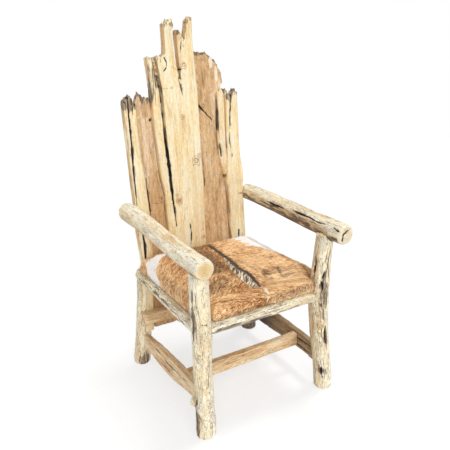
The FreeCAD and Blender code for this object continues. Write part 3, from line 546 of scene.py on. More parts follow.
class Finish(Nodes):
    """A material built from nodes, ended by one surface shader."""

    def __init__(self, name):
        self.material = bpy.data.materials.new(name)
        self.material.use_nodes = True
        super().__init__(self.material.node_tree)
        self.shader = self.node("ShaderNodeBsdfPrincipled")
        self.output = self.node("ShaderNodeOutputMaterial", None, {0: self.shader.outputs[0]})

    def attribute(self, name):
        return self.node("ShaderNodeAttribute", {"attribute_name": name})

    def mark(self, name):
        return Field(self, self.attribute(name).outputs["Fac"])

    def noise(self, place, scale, detail=3.0, rough=0.55, warp=0.0):
        """Noise over a socket's place, or an attribute's, scaled on each axis."""
        if isinstance(place, str):
            place = self.attribute(place).outputs["Vector"]
        spot = self.node("ShaderNodeMapping", None, {"Vector": place, "Scale": scale})
        node = self.node("ShaderNodeTexNoise", None, {
            "Vector": spot.outputs[0], "Scale": 1.0,
            "Detail": detail, "Roughness": rough, "Distortion": warp,
        })
        return Field(self, node.outputs["Fac"])

    def object_noise(self, scale, detail):
        place = self.node("ShaderNodeTexCoord").outputs["Object"]
        return self.noise(place, (scale, scale, scale), detail)

    def creases(self, scale, width):
        """Thin wandering lines along the grain, where a noise crosses its middle."""
        return (self.noise("grain", scale, 2.0, 0.5, 0.5) - 0.5).size().between(width, width * 0.35)

    def blend(self, share, first, second):
        sockets = {0: share, 6: first, 7: second}
        return self.node("ShaderNodeMix", {"data_type": "RGBA"}, sockets).outputs[2]

    def ramp(self, value, *stops):
        """A colour for each value, given as stops of a place and a colour."""
        node = self.node("ShaderNodeValToRGB", None, {0: value})
        elements = node.color_ramp.elements
        while len(elements) < len(stops):
            elements.new(1.0)
        for element, (place, colour) in zip(elements, stops):
            element.position = place
            element.color = (*colour, 1.0)
        return node.outputs[0]

    def bump(self, height, distance, strength):
        sockets = {"Height": height, "Distance": distance, "Strength": strength}
        return self.node("ShaderNodeBump", None, sockets).outputs[0]

    def surface(self, **values):
        for name, value in values.items():
            self.feed(self.shader.inputs[name.replace("_", " ")], value)
        return self.material


class GeometryTree(Nodes):
    """A geometry tree with named inputs, worked into one piece."""

    def __init__(self, name, **inputs):
        super().__init__(bpy.data.node_groups.new(name, "GeometryNodeTree"))
        rows = [("Geometry", "OUTPUT", "Geometry"), ("Geometry", "INPUT", "Geometry")]
        rows += [(label.replace("_", " "), "INPUT", kind) for label, kind in inputs.items()]
        rows.append(("Material", "INPUT", "Material"))
        for label, way, kind in rows:
            self.tree.interface.new_socket(label, in_out=way, socket_type="NodeSocket" + kind)
        self.source = self.node("NodeGroupInput")

    def given(self, label):
        return self.source.outputs[label]

    def kept(self, name, kind="FLOAT_VECTOR"):
        """What the piece keeps at each point under a name."""
        node = self.node("GeometryNodeInputNamedAttribute", {"data_type": kind}, {"Name": name})
        return node.outputs[0]

    def toward(self, way):
        """The turn that brings a copy's upright axis to a way."""
        return self.node("FunctionNodeAlignEulerToVector", {"axis": "Z"}, {"Vector": way}).outputs[0]

    def place_copies(self, points, shape, turn, scale):
        """End the tree with real copies of a shape on points, in the given finish."""
        placed = self.node("GeometryNodeInstanceOnPoints", None, {
            "Points": points, "Instance": shape, "Rotation": turn, "Scale": scale,
        })
        real = self.node("GeometryNodeRealizeInstances", None, {"Geometry": placed.outputs[0]})
        done = self.node("GeometryNodeSetMaterial", None, {
            "Geometry": real.outputs[0], "Material": self.given("Material"),
        })
        self.node("NodeGroupOutput", None, {0: done.outputs[0]})

    def work_on(self, piece, **values):
        modifier = piece.modifiers.new(self.tree.name, "NODES")
        modifier.node_group = self.tree
        for socket in self.tree.interface.items_tree:
            key = socket.name.replace(" ", "_")
            if socket.in_out == "INPUT" and key in values:
                modifier[socket.identifier] = values[key]
        work_in_modifiers(piece)


# Finishes


def lighter(colour, share):
    return tuple(value + (1.0 - value) * share for value in colour)


def wood_finish(name, colours, streaks, strokes, flame):
    """Weathered wood: fibres, blotches, strokes, stains, knots and sawn ends."""
    wood = Finish(name)
    light, middle, deep, grey, sap = colours
    broad = wood.noise("grain", (22, 22, 3), 3.0, 0.6, flame)
    fibre = wood.noise("grain", (170, 170, 7 + 12 * flame), 4.0, 0.65, flame)
    fine = wood.noise("grain", (520, 520, 60), 2.0, 0.6)
    mottle = wood.noise("grain", (110, 110, 42), 4.0, 0.7, 0.4)
    blotch = wood.noise("grain", (34, 34, 9), 3.0, 0.6, 0.5)
    weather = wood.noise("grain", (60, 60, 6), 4.0, 0.65, 0.6)
    dashes = wood.noise("grain", (330, 330, 75), 2.0, 0.5)
    streak = wood.noise("grain", (150, 150, 16), 3.0, 0.6, 0.3)
    # Fibres and broad blotches set the tone
    tone = broad * 0.45 + fibre * 0.3 + mottle * 0.25
    stops = (0.37, deep), (0.455, middle), (0.53, light), (0.62, lighter(light, 0.35))
    colour = wood.ramp(tone, *stops)
    warm_share = blotch.between(0.58, 0.70) * 0.4 + wood.mark("warm") * (fibre * 0.6 + 0.5)
    colour = wood.blend(warm_share.smaller(1.0), colour, sap)
    colour = wood.blend(weather.between(0.58, 0.72) * 0.35 * strokes, colour, grey)
    # Pale streaks, then thin dark lines and dashes
    pale = fine.between(0.46, 0.66) * mottle.between(0.44, 0.58) * streaks
    colour = wood.blend(pale, colour, (0.93, 0.90, 0.80))
    creases = wood.creases((150, 150, 11), 0.030) * weather.between(0.44, 0.56)
    short = wood.creases((230, 230, 62), 0.045) * mottle.between(0.40, 0.52)
    line_share = (creases * 0.85).larger(short * 0.55) * strokes
    colour = wood.blend(line_share.smaller(1.0), colour, (0.22, 0.14, 0.08))
    dash_share = dashes.between(0.62, 0.69) * blotch.between(0.40, 0.54) * strokes
    colour = wood.blend(dash_share * 0.8, colour, (0.14, 0.08, 0.045))
    # Rings round the branch scars
    knot = wood.mark("knot")
    rings = (knot * 15.0 + mottle * 9.0).sine() * 0.5 + 0.5
    heart = knot.between(0.2, 1.0) * mottle.between(0.38, 0.58) * 0.5
    colour = wood.blend(heart, colour, (0.56, 0.33, 0.16))
    ring_share = rings.between(0.55, 0.95) * knot.between(0.02, 0.35) * 0.8
    colour = wood.blend(ring_share, colour, (0.26, 0.14, 0.07))
    # Stained, sawn and pale stretches, where the carving marks them; then near-black where the crack mark
    # stands, which is painted shade inside cracks and nicks and on wood in the seat's shade, and dark
    # streaks of the wood
    stain = wood.mark("stain")
    ragged_stain = (stain * 1.1 + (streak - 0.5) * 1.8).between(0.42, 0.66)
    darkness = fine * 0.5 + streak * 0.5 + stain * 0.07
    stained = wood.ramp(darkness, (0.46, (0.50, 0.38, 0.25)), (0.59, (0.09, 0.06, 0.048)))
    colour = wood.blend(ragged_stain * stain.between(0.02, 0.2) * 0.9, colour, stained)
    colour = wood.blend(wood.mark("end"), colour, end_grain(wood, light))
    sapwood = (wood.mark("pale") + (fibre - 0.5) * 0.9).between(0.35, 0.65) * 0.85
    bare = wood.ramp(fine, (0.35, (0.80, 0.66, 0.42)), (0.6, (0.93, 0.87, 0.70)))
    colour = wood.blend(sapwood, colour, bare)
    colour = wood.blend(wood.mark("crack").between(0.25, 0.75), colour, (0.020, 0.015, 0.014))
    height = fibre * 0.35 + mottle * 0.5 + fine * 0.15 - line_share * 0.6 - dash_share * 0.6
    rough = (fibre * 0.2 + stain * 0.1 + 0.62).smaller(1.0)
    normal = wood.bump(height, 0.004, 0.8)
    return wood.surface(Base_Color=colour, Roughness=rough, Normal=normal, Specular_IOR_Level=0.3)


def end_grain(wood, rim):
    """Growth rings of a sawn end, yellow inside a pale rim."""
    grain = wood.attribute("grain").outputs["Vector"]
    flat = wood.node("ShaderNodeVectorMath", {"operation": "MULTIPLY"}, {0: grain, 1: (1.0, 1.0, 0.0)})
    flat = flat.outputs[0]
    length = wood.node("ShaderNodeVectorMath", {"operation": "LENGTH"}, {0: flat})
    radius = Field(wood, length.outputs[1])
    lobes = wood.noise(flat, (55, 55, 55), 3.0, 0.6)
    specks = wood.noise(flat, (330, 330, 330), 2.0, 0.6)
    ring = ((radius * 1000.0 + lobes * 18.0) * 1.05).sine() * 0.5 + 0.5
    heart, outer = (0.80, 0.56, 0.25), (0.90, 0.68, 0.36)
    stops = (0.30, heart), (0.66, outer), (0.86, rim), (0.95, lighter(rim, 0.4))
    face = wood.ramp(radius * 22.0 + lobes * 0.35, *stops)
    face = wood.blend(ring.between(0.5, 1.0) * lobes.between(0.35, 0.6) * 0.5, face, (0.50, 0.30, 0.12))
    face = wood.blend(specks.between(0.46, 0.36) * 0.45, face, (0.42, 0.26, 0.12))
    return wood.blend(specks.between(0.56, 0.66) * 0.6, face, (0.96, 0.90, 0.74))


def sawn_finish(name):
    """Plain sawn wood, for what the chair hides."""
    wood = Finish(name)
    fibre = wood.noise("grain", (120, 120, 6), 4.0, 0.6, 0.2)
    fine = wood.noise("grain", (700, 700, 60), 2.0)
    colour = wood.ramp(fibre * 0.8 + fine * 0.2, (0.36, (0.42, 0.27, 0.13)), (0.64, (0.66, 0.47, 0.27)))
    normal = wood.bump(fibre * 0.6 + fine * 0.4, 0.001, 0.5)
    return wood.surface(Base_Color=colour, Roughness=fibre * 0.2 + 0.6, Normal=normal)


def hide_finish(name, settings):
    """Short copper hair with a dark spine, a cream crest and white patches."""
    hide = Finish(name)
    copper, gold, light, deep = (
        tuple(getattr(settings, key)) for key in ("copper", "gold", "light", "deep")
    )
    black, brown, dust = (0.022, 0.017, 0.016), (0.13, 0.075, 0.045), (0.30, 0.22, 0.17)
    cream = (0.86, 0.74, 0.54)
    hair = hide.noise("lay", (380, 48, 60), 4.0, 0.7, 0.5)
    lock = hide.noise("lay", (95, 30, 20), 3.0, 0.6, 1.2)
    broad = hide.noise("lay", (22, 14, 9), 3.0, 0.6, 0.4)
    bristle = hide.noise("lay", (170, 22, 20), 3.0, 0.6, 0.6)
    tone = hair * 0.88 + lock * 0.2 + broad * 0.25 - 0.165
    tone = tone + hide.mark("bright") * 0.045 + hide.mark("tip") * 0.05
    colour = hide.ramp(tone, (0.42, deep), (0.475, copper), (0.525, gold), (0.585, light))
    # The shade mark: darker hair and painted shade, in the dark stretches and the whorls' hollows
    shade = hide.mark("shade") * (hair.between(0.62, 0.38) * 0.9 + lock * 0.9)
    colour = hide.blend(shade.smaller(0.94), colour, (0.120, 0.040, 0.008))
    # The pale mark: paler hair and painted highlights, blended toward cream
    pale = hide.mark("pale")
    pale_share = (pale + (hair - 0.5) * 0.9 + (lock - 0.5) * 1.2).between(0.42, 0.72)
    colour = hide.blend(pale_share * pale.between(0.0, 0.15) * 0.9, colour, cream)
    crest = hide.mark("crest")
    crest_share = (crest + (bristle - 0.5) * 1.6).between(0.35, 0.55) * crest.between(0.0, 0.3)
    stops = (0.43, black), (0.485, brown), (0.53, cream), (0.62, lighter(cream, 0.3))
    colour = hide.blend(crest_share, colour, hide.ramp(bristle * 0.7 + hair * 0.3, *stops))
    spine = hide.mark("spine")
    spine_share = (spine + (hair - 0.5) * 0.9).between(0.38, 0.62) * spine.between(0.0, 0.2)
    streak = hide.ramp(hair - spine * 0.08, (0.40, black), (0.50, brown), (0.60, dust))
    colour = hide.blend(spine_share * 0.95, colour, streak)
    white_share = (hide.mark("white") + (hair - 0.5) * 0.7).between(0.40, 0.60)
    white = hide.ramp(hair, (0.3, (0.74, 0.70, 0.66)), (0.5, (0.93, 0.91, 0.88)))
    colour = hide.blend(white_share, colour, white)
    normal = hide.bump(hair * 0.9 + lock * 0.3, 0.004, 0.9)
    return hide.surface(
        Base_Color=colour, Roughness=0.62 - hair * 0.2, Normal=normal,
        Specular_IOR_Level=0.22, Sheen_Weight=0.05, Sheen_Roughness=0.4,
    )


def steel_finish(name):
    """Grey steel with worn spots."""
    steel = Finish(name)
    wear = steel.object_noise(900, 3.0)
    colour = steel.ramp(wear, (0.35, (0.30, 0.29, 0.27)), (0.6, (0.60, 0.59, 0.57)))
    return steel.surface(Base_Color=colour, Metallic=1.0, Roughness=wear * 0.3 + 0.25)


def floor_finish(name, colour, lift):
    """A pale floor that the camera sees lifted toward white."""
    floor = Finish(name)
    worn = tuple(value * 0.985 for value in colour)
    shade = floor.ramp(floor.object_noise(3, 2.0), (0.3, worn), (0.7, colour))
    floor.surface(Base_Color=shade, Roughness=0.9, Specular_IOR_Level=0.0)
    glow = floor.node("ShaderNodeEmission", None, {"Color": (1.0, 1.0, 1.0), "Strength": 1.0})
    floor.feed(floor.output.inputs[0], floor.mix(floor.seen() * lift, floor.shader, glow))
    return floor.material


def shared(name, make, *values):
    """A material by its name, made the first time it is asked for."""
    return bpy.data.materials.get(name) or make(name, *values)


# Each wood's slot, the share of each roughness it is carved with, its colours in the
# settings, and the strength of its pale streaks, dark strokes and flame
WOODS = {
    "peeled log": ("peeled_wood", (1.0, 1.0, 1.0), "log", (0.8, 1.0, 0.3)),
    "clear log": ("peeled_wood", (1.0, 1.0, 1.0), "log", (0.8, 0.75, 0.3)),
    "pale board": ("peeled_wood", (0.6, 0.8, 0.7), "slab", (0.6, 0.3, 0.2)),
    "honey board": ("brown_wood", (0.6, 0.8, 0.7), "honey", (0.5, 0.3, 0.3)),
    "brown board": ("brown_wood", (0.6, 0.8, 0.7), "board", (0.3, 0.6, 0.9)),
    "brown bar": ("brown_wood", (0.8, 1.0, 1.0), "bar", (0.4, 0.6, 0.5)),
    # The shaded bar is the brown bar darkened as painted shade, for the stretcher under the seat
    "dark bar": ("brown_wood", (0.8, 1.0, 1.0), "bar", (0.3, 1.0, 0.5)),
    "plain sawn": ("sawn_wood", (0.0, 0.3, 0.3), None, None),
}


def wood_material(wood, name):
    """The material of one of the woods, in the colours of the settings."""
    _, _, group, strengths = WOODS[name]
    if group is None:
        return shared(name, sawn_finish)
    # The shaded bar's colours are scaled down as painted shade
    share = wood.painted_shade_share if name == "dark bar" else 1.0
    keys = (f"{group}_light", f"{group}_middle", f"{group}_deep", "log_grey", "sap")
    colours = [tuple(value * share for value in getattr(wood, key)) for key in keys]
    return shared(name, wood_finish, colours, *strengths)


# Sizes and colours that a user may change


def colour_setting(name, description, default):
    return bpy.props.FloatVectorProperty(
        name=name, description=description, subtype="COLOR", size=3, min=0.0, max=1.0, default=default,
    )


def length_setting(name, description, default):
    return bpy.props.FloatProperty(
        name=name, description=description, subtype="DISTANCE", unit="LENGTH", min=0.0, default=default,
    )


def share_setting(name, description, default, high=1.0):
    return bpy.props.FloatProperty(name=name, description=description, min=0.0, max=high, default=default)


class ChairWoodSettings(bpy.types.PropertyGroup):
    """The chair's timber."""

    skin_cell: length_setting("Skin cell", "Size of the quads on a carved log", 0.003)
    lump: length_setting("Swelling", "How far a log swells and wanes along its length", 0.0016)
    ridge: length_setting("Furrows", "Depth of the long furrows in a log", 0.0012)
    fleck: length_setting("Pits", "Depth of the short pits in a log", 0.0006)
    log_light: colour_setting("Log, light", "Lightest peeled wood", (0.96, 0.89, 0.69))
    log_middle: colour_setting("Log, middle", "Usual peeled wood", (0.90, 0.76, 0.49))
    log_deep: colour_setting("Log, deep", "Peeled wood in furrows", (0.68, 0.49, 0.27))
    log_grey: colour_setting("Log, grey", "Weathered streaks on peeled wood", (0.54, 0.44, 0.30))
    slab_light: colour_setting("Pale board, light", "Lightest wood of the split slabs", (0.91, 0.79, 0.52))
    slab_middle: colour_setting("Pale board, middle", "Usual wood of the split slabs", (0.85, 0.64, 0.32))
    slab_deep: colour_setting("Pale board, deep", "Darkest fibres of the split slabs", (0.66, 0.44, 0.19))
    board_light: colour_setting("Brown board, light", "Lightest brown wood", (0.75, 0.49, 0.25))
    board_middle: colour_setting("Brown board, middle", "Usual brown wood", (0.60, 0.36, 0.16))
    board_deep: colour_setting("Brown board, deep", "Darkest brown fibres", (0.36, 0.19, 0.075))
    honey_light: colour_setting("Honey board, light", "Lightest yellow wood", (0.86, 0.68, 0.40))
    honey_middle: colour_setting("Honey board, middle", "Usual yellow wood", (0.74, 0.52, 0.25))
    honey_deep: colour_setting("Honey board, deep", "Darkest yellow fibres", (0.50, 0.31, 0.13))
    bar_light: colour_setting("Stretcher, light", "Lightest wood of the stretchers", (0.90, 0.70, 0.44))
    bar_middle: colour_setting("Stretcher, middle", "Usual wood of the stretchers", (0.77, 0.48, 0.23))
    bar_deep: colour_setting("Stretcher, deep", "Darkest fibres of the stretchers", (0.40, 0.21, 0.09))
    # How far the stretcher under the seat is darkened as painted shade
    painted_shade_share: share_setting("Dark stretcher", "Brightness of the dark stretcher against the others", 0.50)
    sap: colour_setting("Warm wood", "Orange wood where the skin is gone", (0.66, 0.40, 0.17))


class ChairHideSettings(bpy.types.PropertyGroup):
    """The hide on the seat."""

    swell_cell: length_setting("Swelling cell", "Size of the quads that the cloth swells", 0.006)
    swell: length_setting("Swelling", "The most that the cushion swells beyond its frame", 0.007)
    hair_length: length_setting("Hair length", "Length of one hair of the coat", 0.011)
    hair_count: bpy.props.IntProperty(
        name="Hairs", description="How many hairs stand proud", min=0, default=16000,
    )
    copper: colour_setting("Copper", "Usual colour of the coat", (0.50, 0.225, 0.070))
    gold: colour_setting("Gold", "Lighter hair", (0.74, 0.42, 0.17))
    light: colour_setting("Light", "Lightest hair tips", (0.95, 0.71, 0.42))
    deep: colour_setting("Deep", "Shade between the hairs", (0.18, 0.060, 0.013))


class ChairStageSettings(bpy.types.PropertyGroup):
    """Floor, lamps and camera."""

    floor: colour_setting("Floor", "Colour of the floor", (0.97, 0.97, 0.97))
    floor_lift: share_setting("Floor lift", "How far the camera sees the floor lifted to white", 0.65)
    sky: share_setting("Sky", "Strength of the even light", 0.52, 4.0)
    top_lamp: share_setting("Top lamp", "Strength of the lamp above the chair", 1.3, 10.0)
    front_lamp: share_setting("Front lamp", "Strength of the lamp before the chair", 1.75, 10.0)
    lens: bpy.props.FloatProperty(
        name="Lens", description="Focal length in millimetres", min=10.0, default=41.385,
    )


# Wooden pieces: each operator carves those in its table. A row has the kind of timber, the
# node, the axis of its grain, its seed, its wood and its marks. A crack is a line, its width
# and depth, how ragged and how dark its painted shade is. A knot is a place, its size, rise and
# darkness. A stretch of colour is a place, how far it reaches across and along, and its strength;
# a crack stretch is painted shade.


def carve(wood, pieces):
    """Carve, dress and finish each piece in an operator's table."""
    for kind, node, axis, seed, name, marks in pieces:
        slot, (lump, ridge, fleck), _, _ = WOODS[name]
        # The seat board looks like the battens
        if node == "seat_board":
            slot = "seat_ply"
        timber = kind(node, axis, wood.skin_cell, seed)
        timber.roughen(wood.lump * lump, wood.ridge * ridge, wood.fleck * fleck)
        timber.dress(**marks)
        timber.finish(slot, wood_material(wood, name))


class CHAIR_OT_front_legs(bpy.types.Operator):
    """Carve the two front legs"""

    bl_idname = "chair.front_legs"
    bl_label = "Front legs"
    pieces = (
        (Log, "front_right_leg", UP, 11, "peeled log", dict(
            cracks=(
                (((207, -278, 572), (205, -283.5, 544.4), (202.5, -279.6, 521.1),
                  (199.8, -281.9, 486)), 12, 9),
                (((228, -313.7, 512), (219.5, -311.4, 491)), 14, 10),
                (((215.2, -310.2, 476), (221.8, -314.8, 444)), 10, 7),
                (((216.5, -311.9, 390), (216.5, -311.9, 376)), 5, 3),
                (((239.8, -314.5, 290), (242, -313.6, 248.4), (250.3, -314.1, 210)), 9, 6),
                (((269.7, -311.2, 160), (269.7, -311.2, 143)), 8, 5),
                (((239.4, -304.9, 107), (241.4, -304.4, 73)), 9, 6),
            ),
            knots=(((209.2, -304.9, 341.5), 14, 4, 0.9), ((221.3, -309.5, 297.7), 18, 6, 0.15)),
            warm=(
                ((205, -284, 590), 18, 80, 0.5), ((203, -284, 480), 18, 110, 0.75),
                ((199.7, -283.6, 335), 18, 80, 0.7), ((206, -280, 268), 20, 60, 0.6),
                ((221, -309, 297), 20, 22, 0.6),
            ),
            stain=(
                ((232, -312, 560), 22, 80, 0.35), ((226, -312, 420), 24, 110, 0.6),
                ((244, -311, 260), 22, 90, 0.45), ((240, -305, 90), 30, 70, 0.4),
            ),
        )),
        (Log, "front_left_leg", UP, 23, "peeled log", dict(
            cracks=(
                (((-303.6, -295.4, 611), (-305.1, -288.3, 509.5), (-303.9, -288, 453.3),
                  (-302.4, -285.3, 375.3)), 11, 2.5, 0.9, 0.35),
                (((-298.3, -301.7, 556), (-297.9, -300.9, 510)), 3.5, 2.5),
                (((-295.2, -280.2, 150), (-296.1, -280.9, 62.6), (-296.4, -277.5, 8)), 13, -2, 0.9, 0.45),
                (((-288.7, -308.1, 453.5), (-275, -311, 449.5), (-262.2, -312.5, 447.5)), 2.5, 1.5),
            ),
            stain=(((-304, -290, 500), 8, 150, 0.3), ((-296, -280, 75), 12, 80, 0.8)),
            warm=(((-262, -312, 330), 20, 90, 0.25),),
            pale=(((-285, -310, 580), 40, 80, 0.45),),
        )),
    )

    def execute(self, context):
        carve(context.scene.chair_wood, self.pieces)
        return {"FINISHED"}


class CHAIR_OT_back_legs(bpy.types.Operator):
    """Carve the two back legs"""

    bl_idname = "chair.back_legs"
    bl_label = "Back legs"
    pieces = (
        (Log, "back_left_leg", UP, 37, "peeled log", dict(
            stain=(((-272.1, 235.8, 20), 30, 40, 0.9),),
            warm=(((-275, 232, 30), 40, 60, 0.5),),
        )),
        (Log, "back_right_leg", UP, 41, "peeled log", dict(
            # The stain and crack stretches darken the lower leg: the stain is partly a water-stained foot
            # and partly painted shade from the seat; the crack stretch is painted shade
            stain=(((240, 235, 40), 300, 200, 0.95),),
            warm=(((240, 235, 120), 300, 350, 0.4),),
            crack=(((240, 235, 60), 300, 200, 0.44),),
        )),
    )

    def execute(self, context):
        carve(context.scene.chair_wood, self.pieces)
        return {"FINISHED"}


class CHAIR_OT_arms(bpy.types.Operator):
    """Carve the two arms"""

    bl_idname = "chair.arms"
    bl_label = "Arms"
    pieces = (
        (Log, "left_arm", ALONG, 53, "clear log", dict(
            knots=(((-285.4, -246.3, 682.6), 11, 3, 0.5), ((-309.9, 155.9, 699.9), 8, 2, 0.6)),
            warm=(((-292.8, -118.3, 688.4), 22, 50, 0.7), ((-300, 20, 695), 25, 90, 0.35)),
            underside=(0.6, 0.3),
        )),
        (Log, "right_arm", ALONG, 67, "peeled log", dict(
            cracks=(
                (((247, 80, 686.5), (243.6, 17.3, 683.6), (241, -46, 684)), 7, 6),
                (((243.1, -90, 690.7), (241.4, -162.1, 689.6), (239.6, -211.8, 688.5),
                  (237.9, -288, 688.4)), 7, 6),
                (((236.3, -330, 686.8), (232.9, -365, 682)), 6, 5),
            ),
            stain=(
                ((242.8, -1.1, 665.5), 20, 80, 0.5), ((234.2, -142.7, 666), 20, 80, 0.5),
                ((233.4, -239.6, 652.8), 20, 80, 0.5),
            ),
            warm=(
                ((242.8, -1.1, 665.5), 34, 90, 0.9), ((234.2, -142.7, 666), 34, 90, 0.9),
                ((233.4, -239.6, 652.8), 34, 90, 0.9),
            ),
            pale=(((265, -367, 665), 300, 10, 0.6),),
            underside=(1.0, 0.85),
            nicks=(
                (((268.4, -369, 676), (254, -369, 666), (250.7, -369, 647)), 10, 6),
                (((268.4, -369, 676), (284, -369, 684)), 5, 4),
            ),
        )),
    )

    def execute(self, context):
        carve(context.scene.chair_wood, self.pieces)
        return {"FINISHED"}


class CHAIR_OT_seat_rails(bpy.types.Operator):
    """Carve the rails round the seat"""

    bl_idname = "chair.seat_rails"
    bl_label = "Seat rails"
    pieces = (
        (Log, "front_seat_rail", ACROSS, 71, "peeled log", dict(sawn=False, stain=(
            ((-200, -303, 406), 12, 60, 0.6), ((-120, -302, 404), 12, 60, 0.6),
            ((-29.1, -299.9, 401.6), 12, 60, 0.6), ((80, -299, 401), 12, 60, 0.6),
        ))),
        (Log, "left_seat_rail", ALONG, 73, "peeled log", dict(sawn=False, stain=(
            ((-287.6, 150, 420.4), 10, 60, 0.5), ((-287.6, 60, 420.4), 10, 60, 0.5),
            ((-287, -40, 415), 10, 60, 0.5), ((-287, -150, 408), 10, 60, 0.5),
        ))),
        (Log, "right_seat_rail", ALONG, 79, "peeled log", dict(sawn=False)),
        (Bar, "rear_seat_rail", ACROSS, 83, "plain sawn", {}),
    )

    def execute(self, context):
        carve(context.scene.chair_wood, self.pieces)
        return {"FINISHED"}


class CHAIR_OT_stretchers(bpy.types.Operator):
    """Carve the stretchers and the lower back bar"""

    bl_idname = "chair.stretchers"
    bl_label = "Stretchers"
    pieces = (
        (Bar, "left_stretcher", ALONG, 91, "brown bar", dict(
            cracks=(
                (((-275, 215, 140), (-275, 60, 146), (-275, -10, 136), (-275, -80, 142),
                  (-275, -175, 151)), 7, 4, 0.9, 0.8),
                (((-275, 70, 108), (-275, 0, 112), (-275, -60, 106)), 6, 3, 0.9, 0.7),
            ),
            warm=(((-275, 20, 122), 18, 70, 0.8),),
            pale=(((-262, 0, 174), 12, 300, 0.35),),
        )),
        # The right stretcher is in painted shade from the seat, darkest toward the rear
        (Bar, "right_stretcher", ALONG, 92, "dark bar", dict(
            cracks=(
                (((250, -70, 152), (250, -235, 154)), 5, 3, 0.8, 0.8),
                (((250, -70, 124), (250, -235, 120)), 6, 4, 0.8, 0.8),
            ),
            warm=(((250, 0, 130), 300, 300, 0.30),),
            dark_from=(-90, 160),
        )),
        (Bar, "cross_stretcher", ACROSS, 93, "brown bar", dict(knots=(((-15.3, -143, 159.6), 12, 2, 0.9),))),
        (Bar, "lower_back_bar", ACROSS, 94, "brown bar", {}),
    )

    def execute(self, context):
        carve(context.scene.chair_wood, self.pieces)
        return {"FINISHED"}


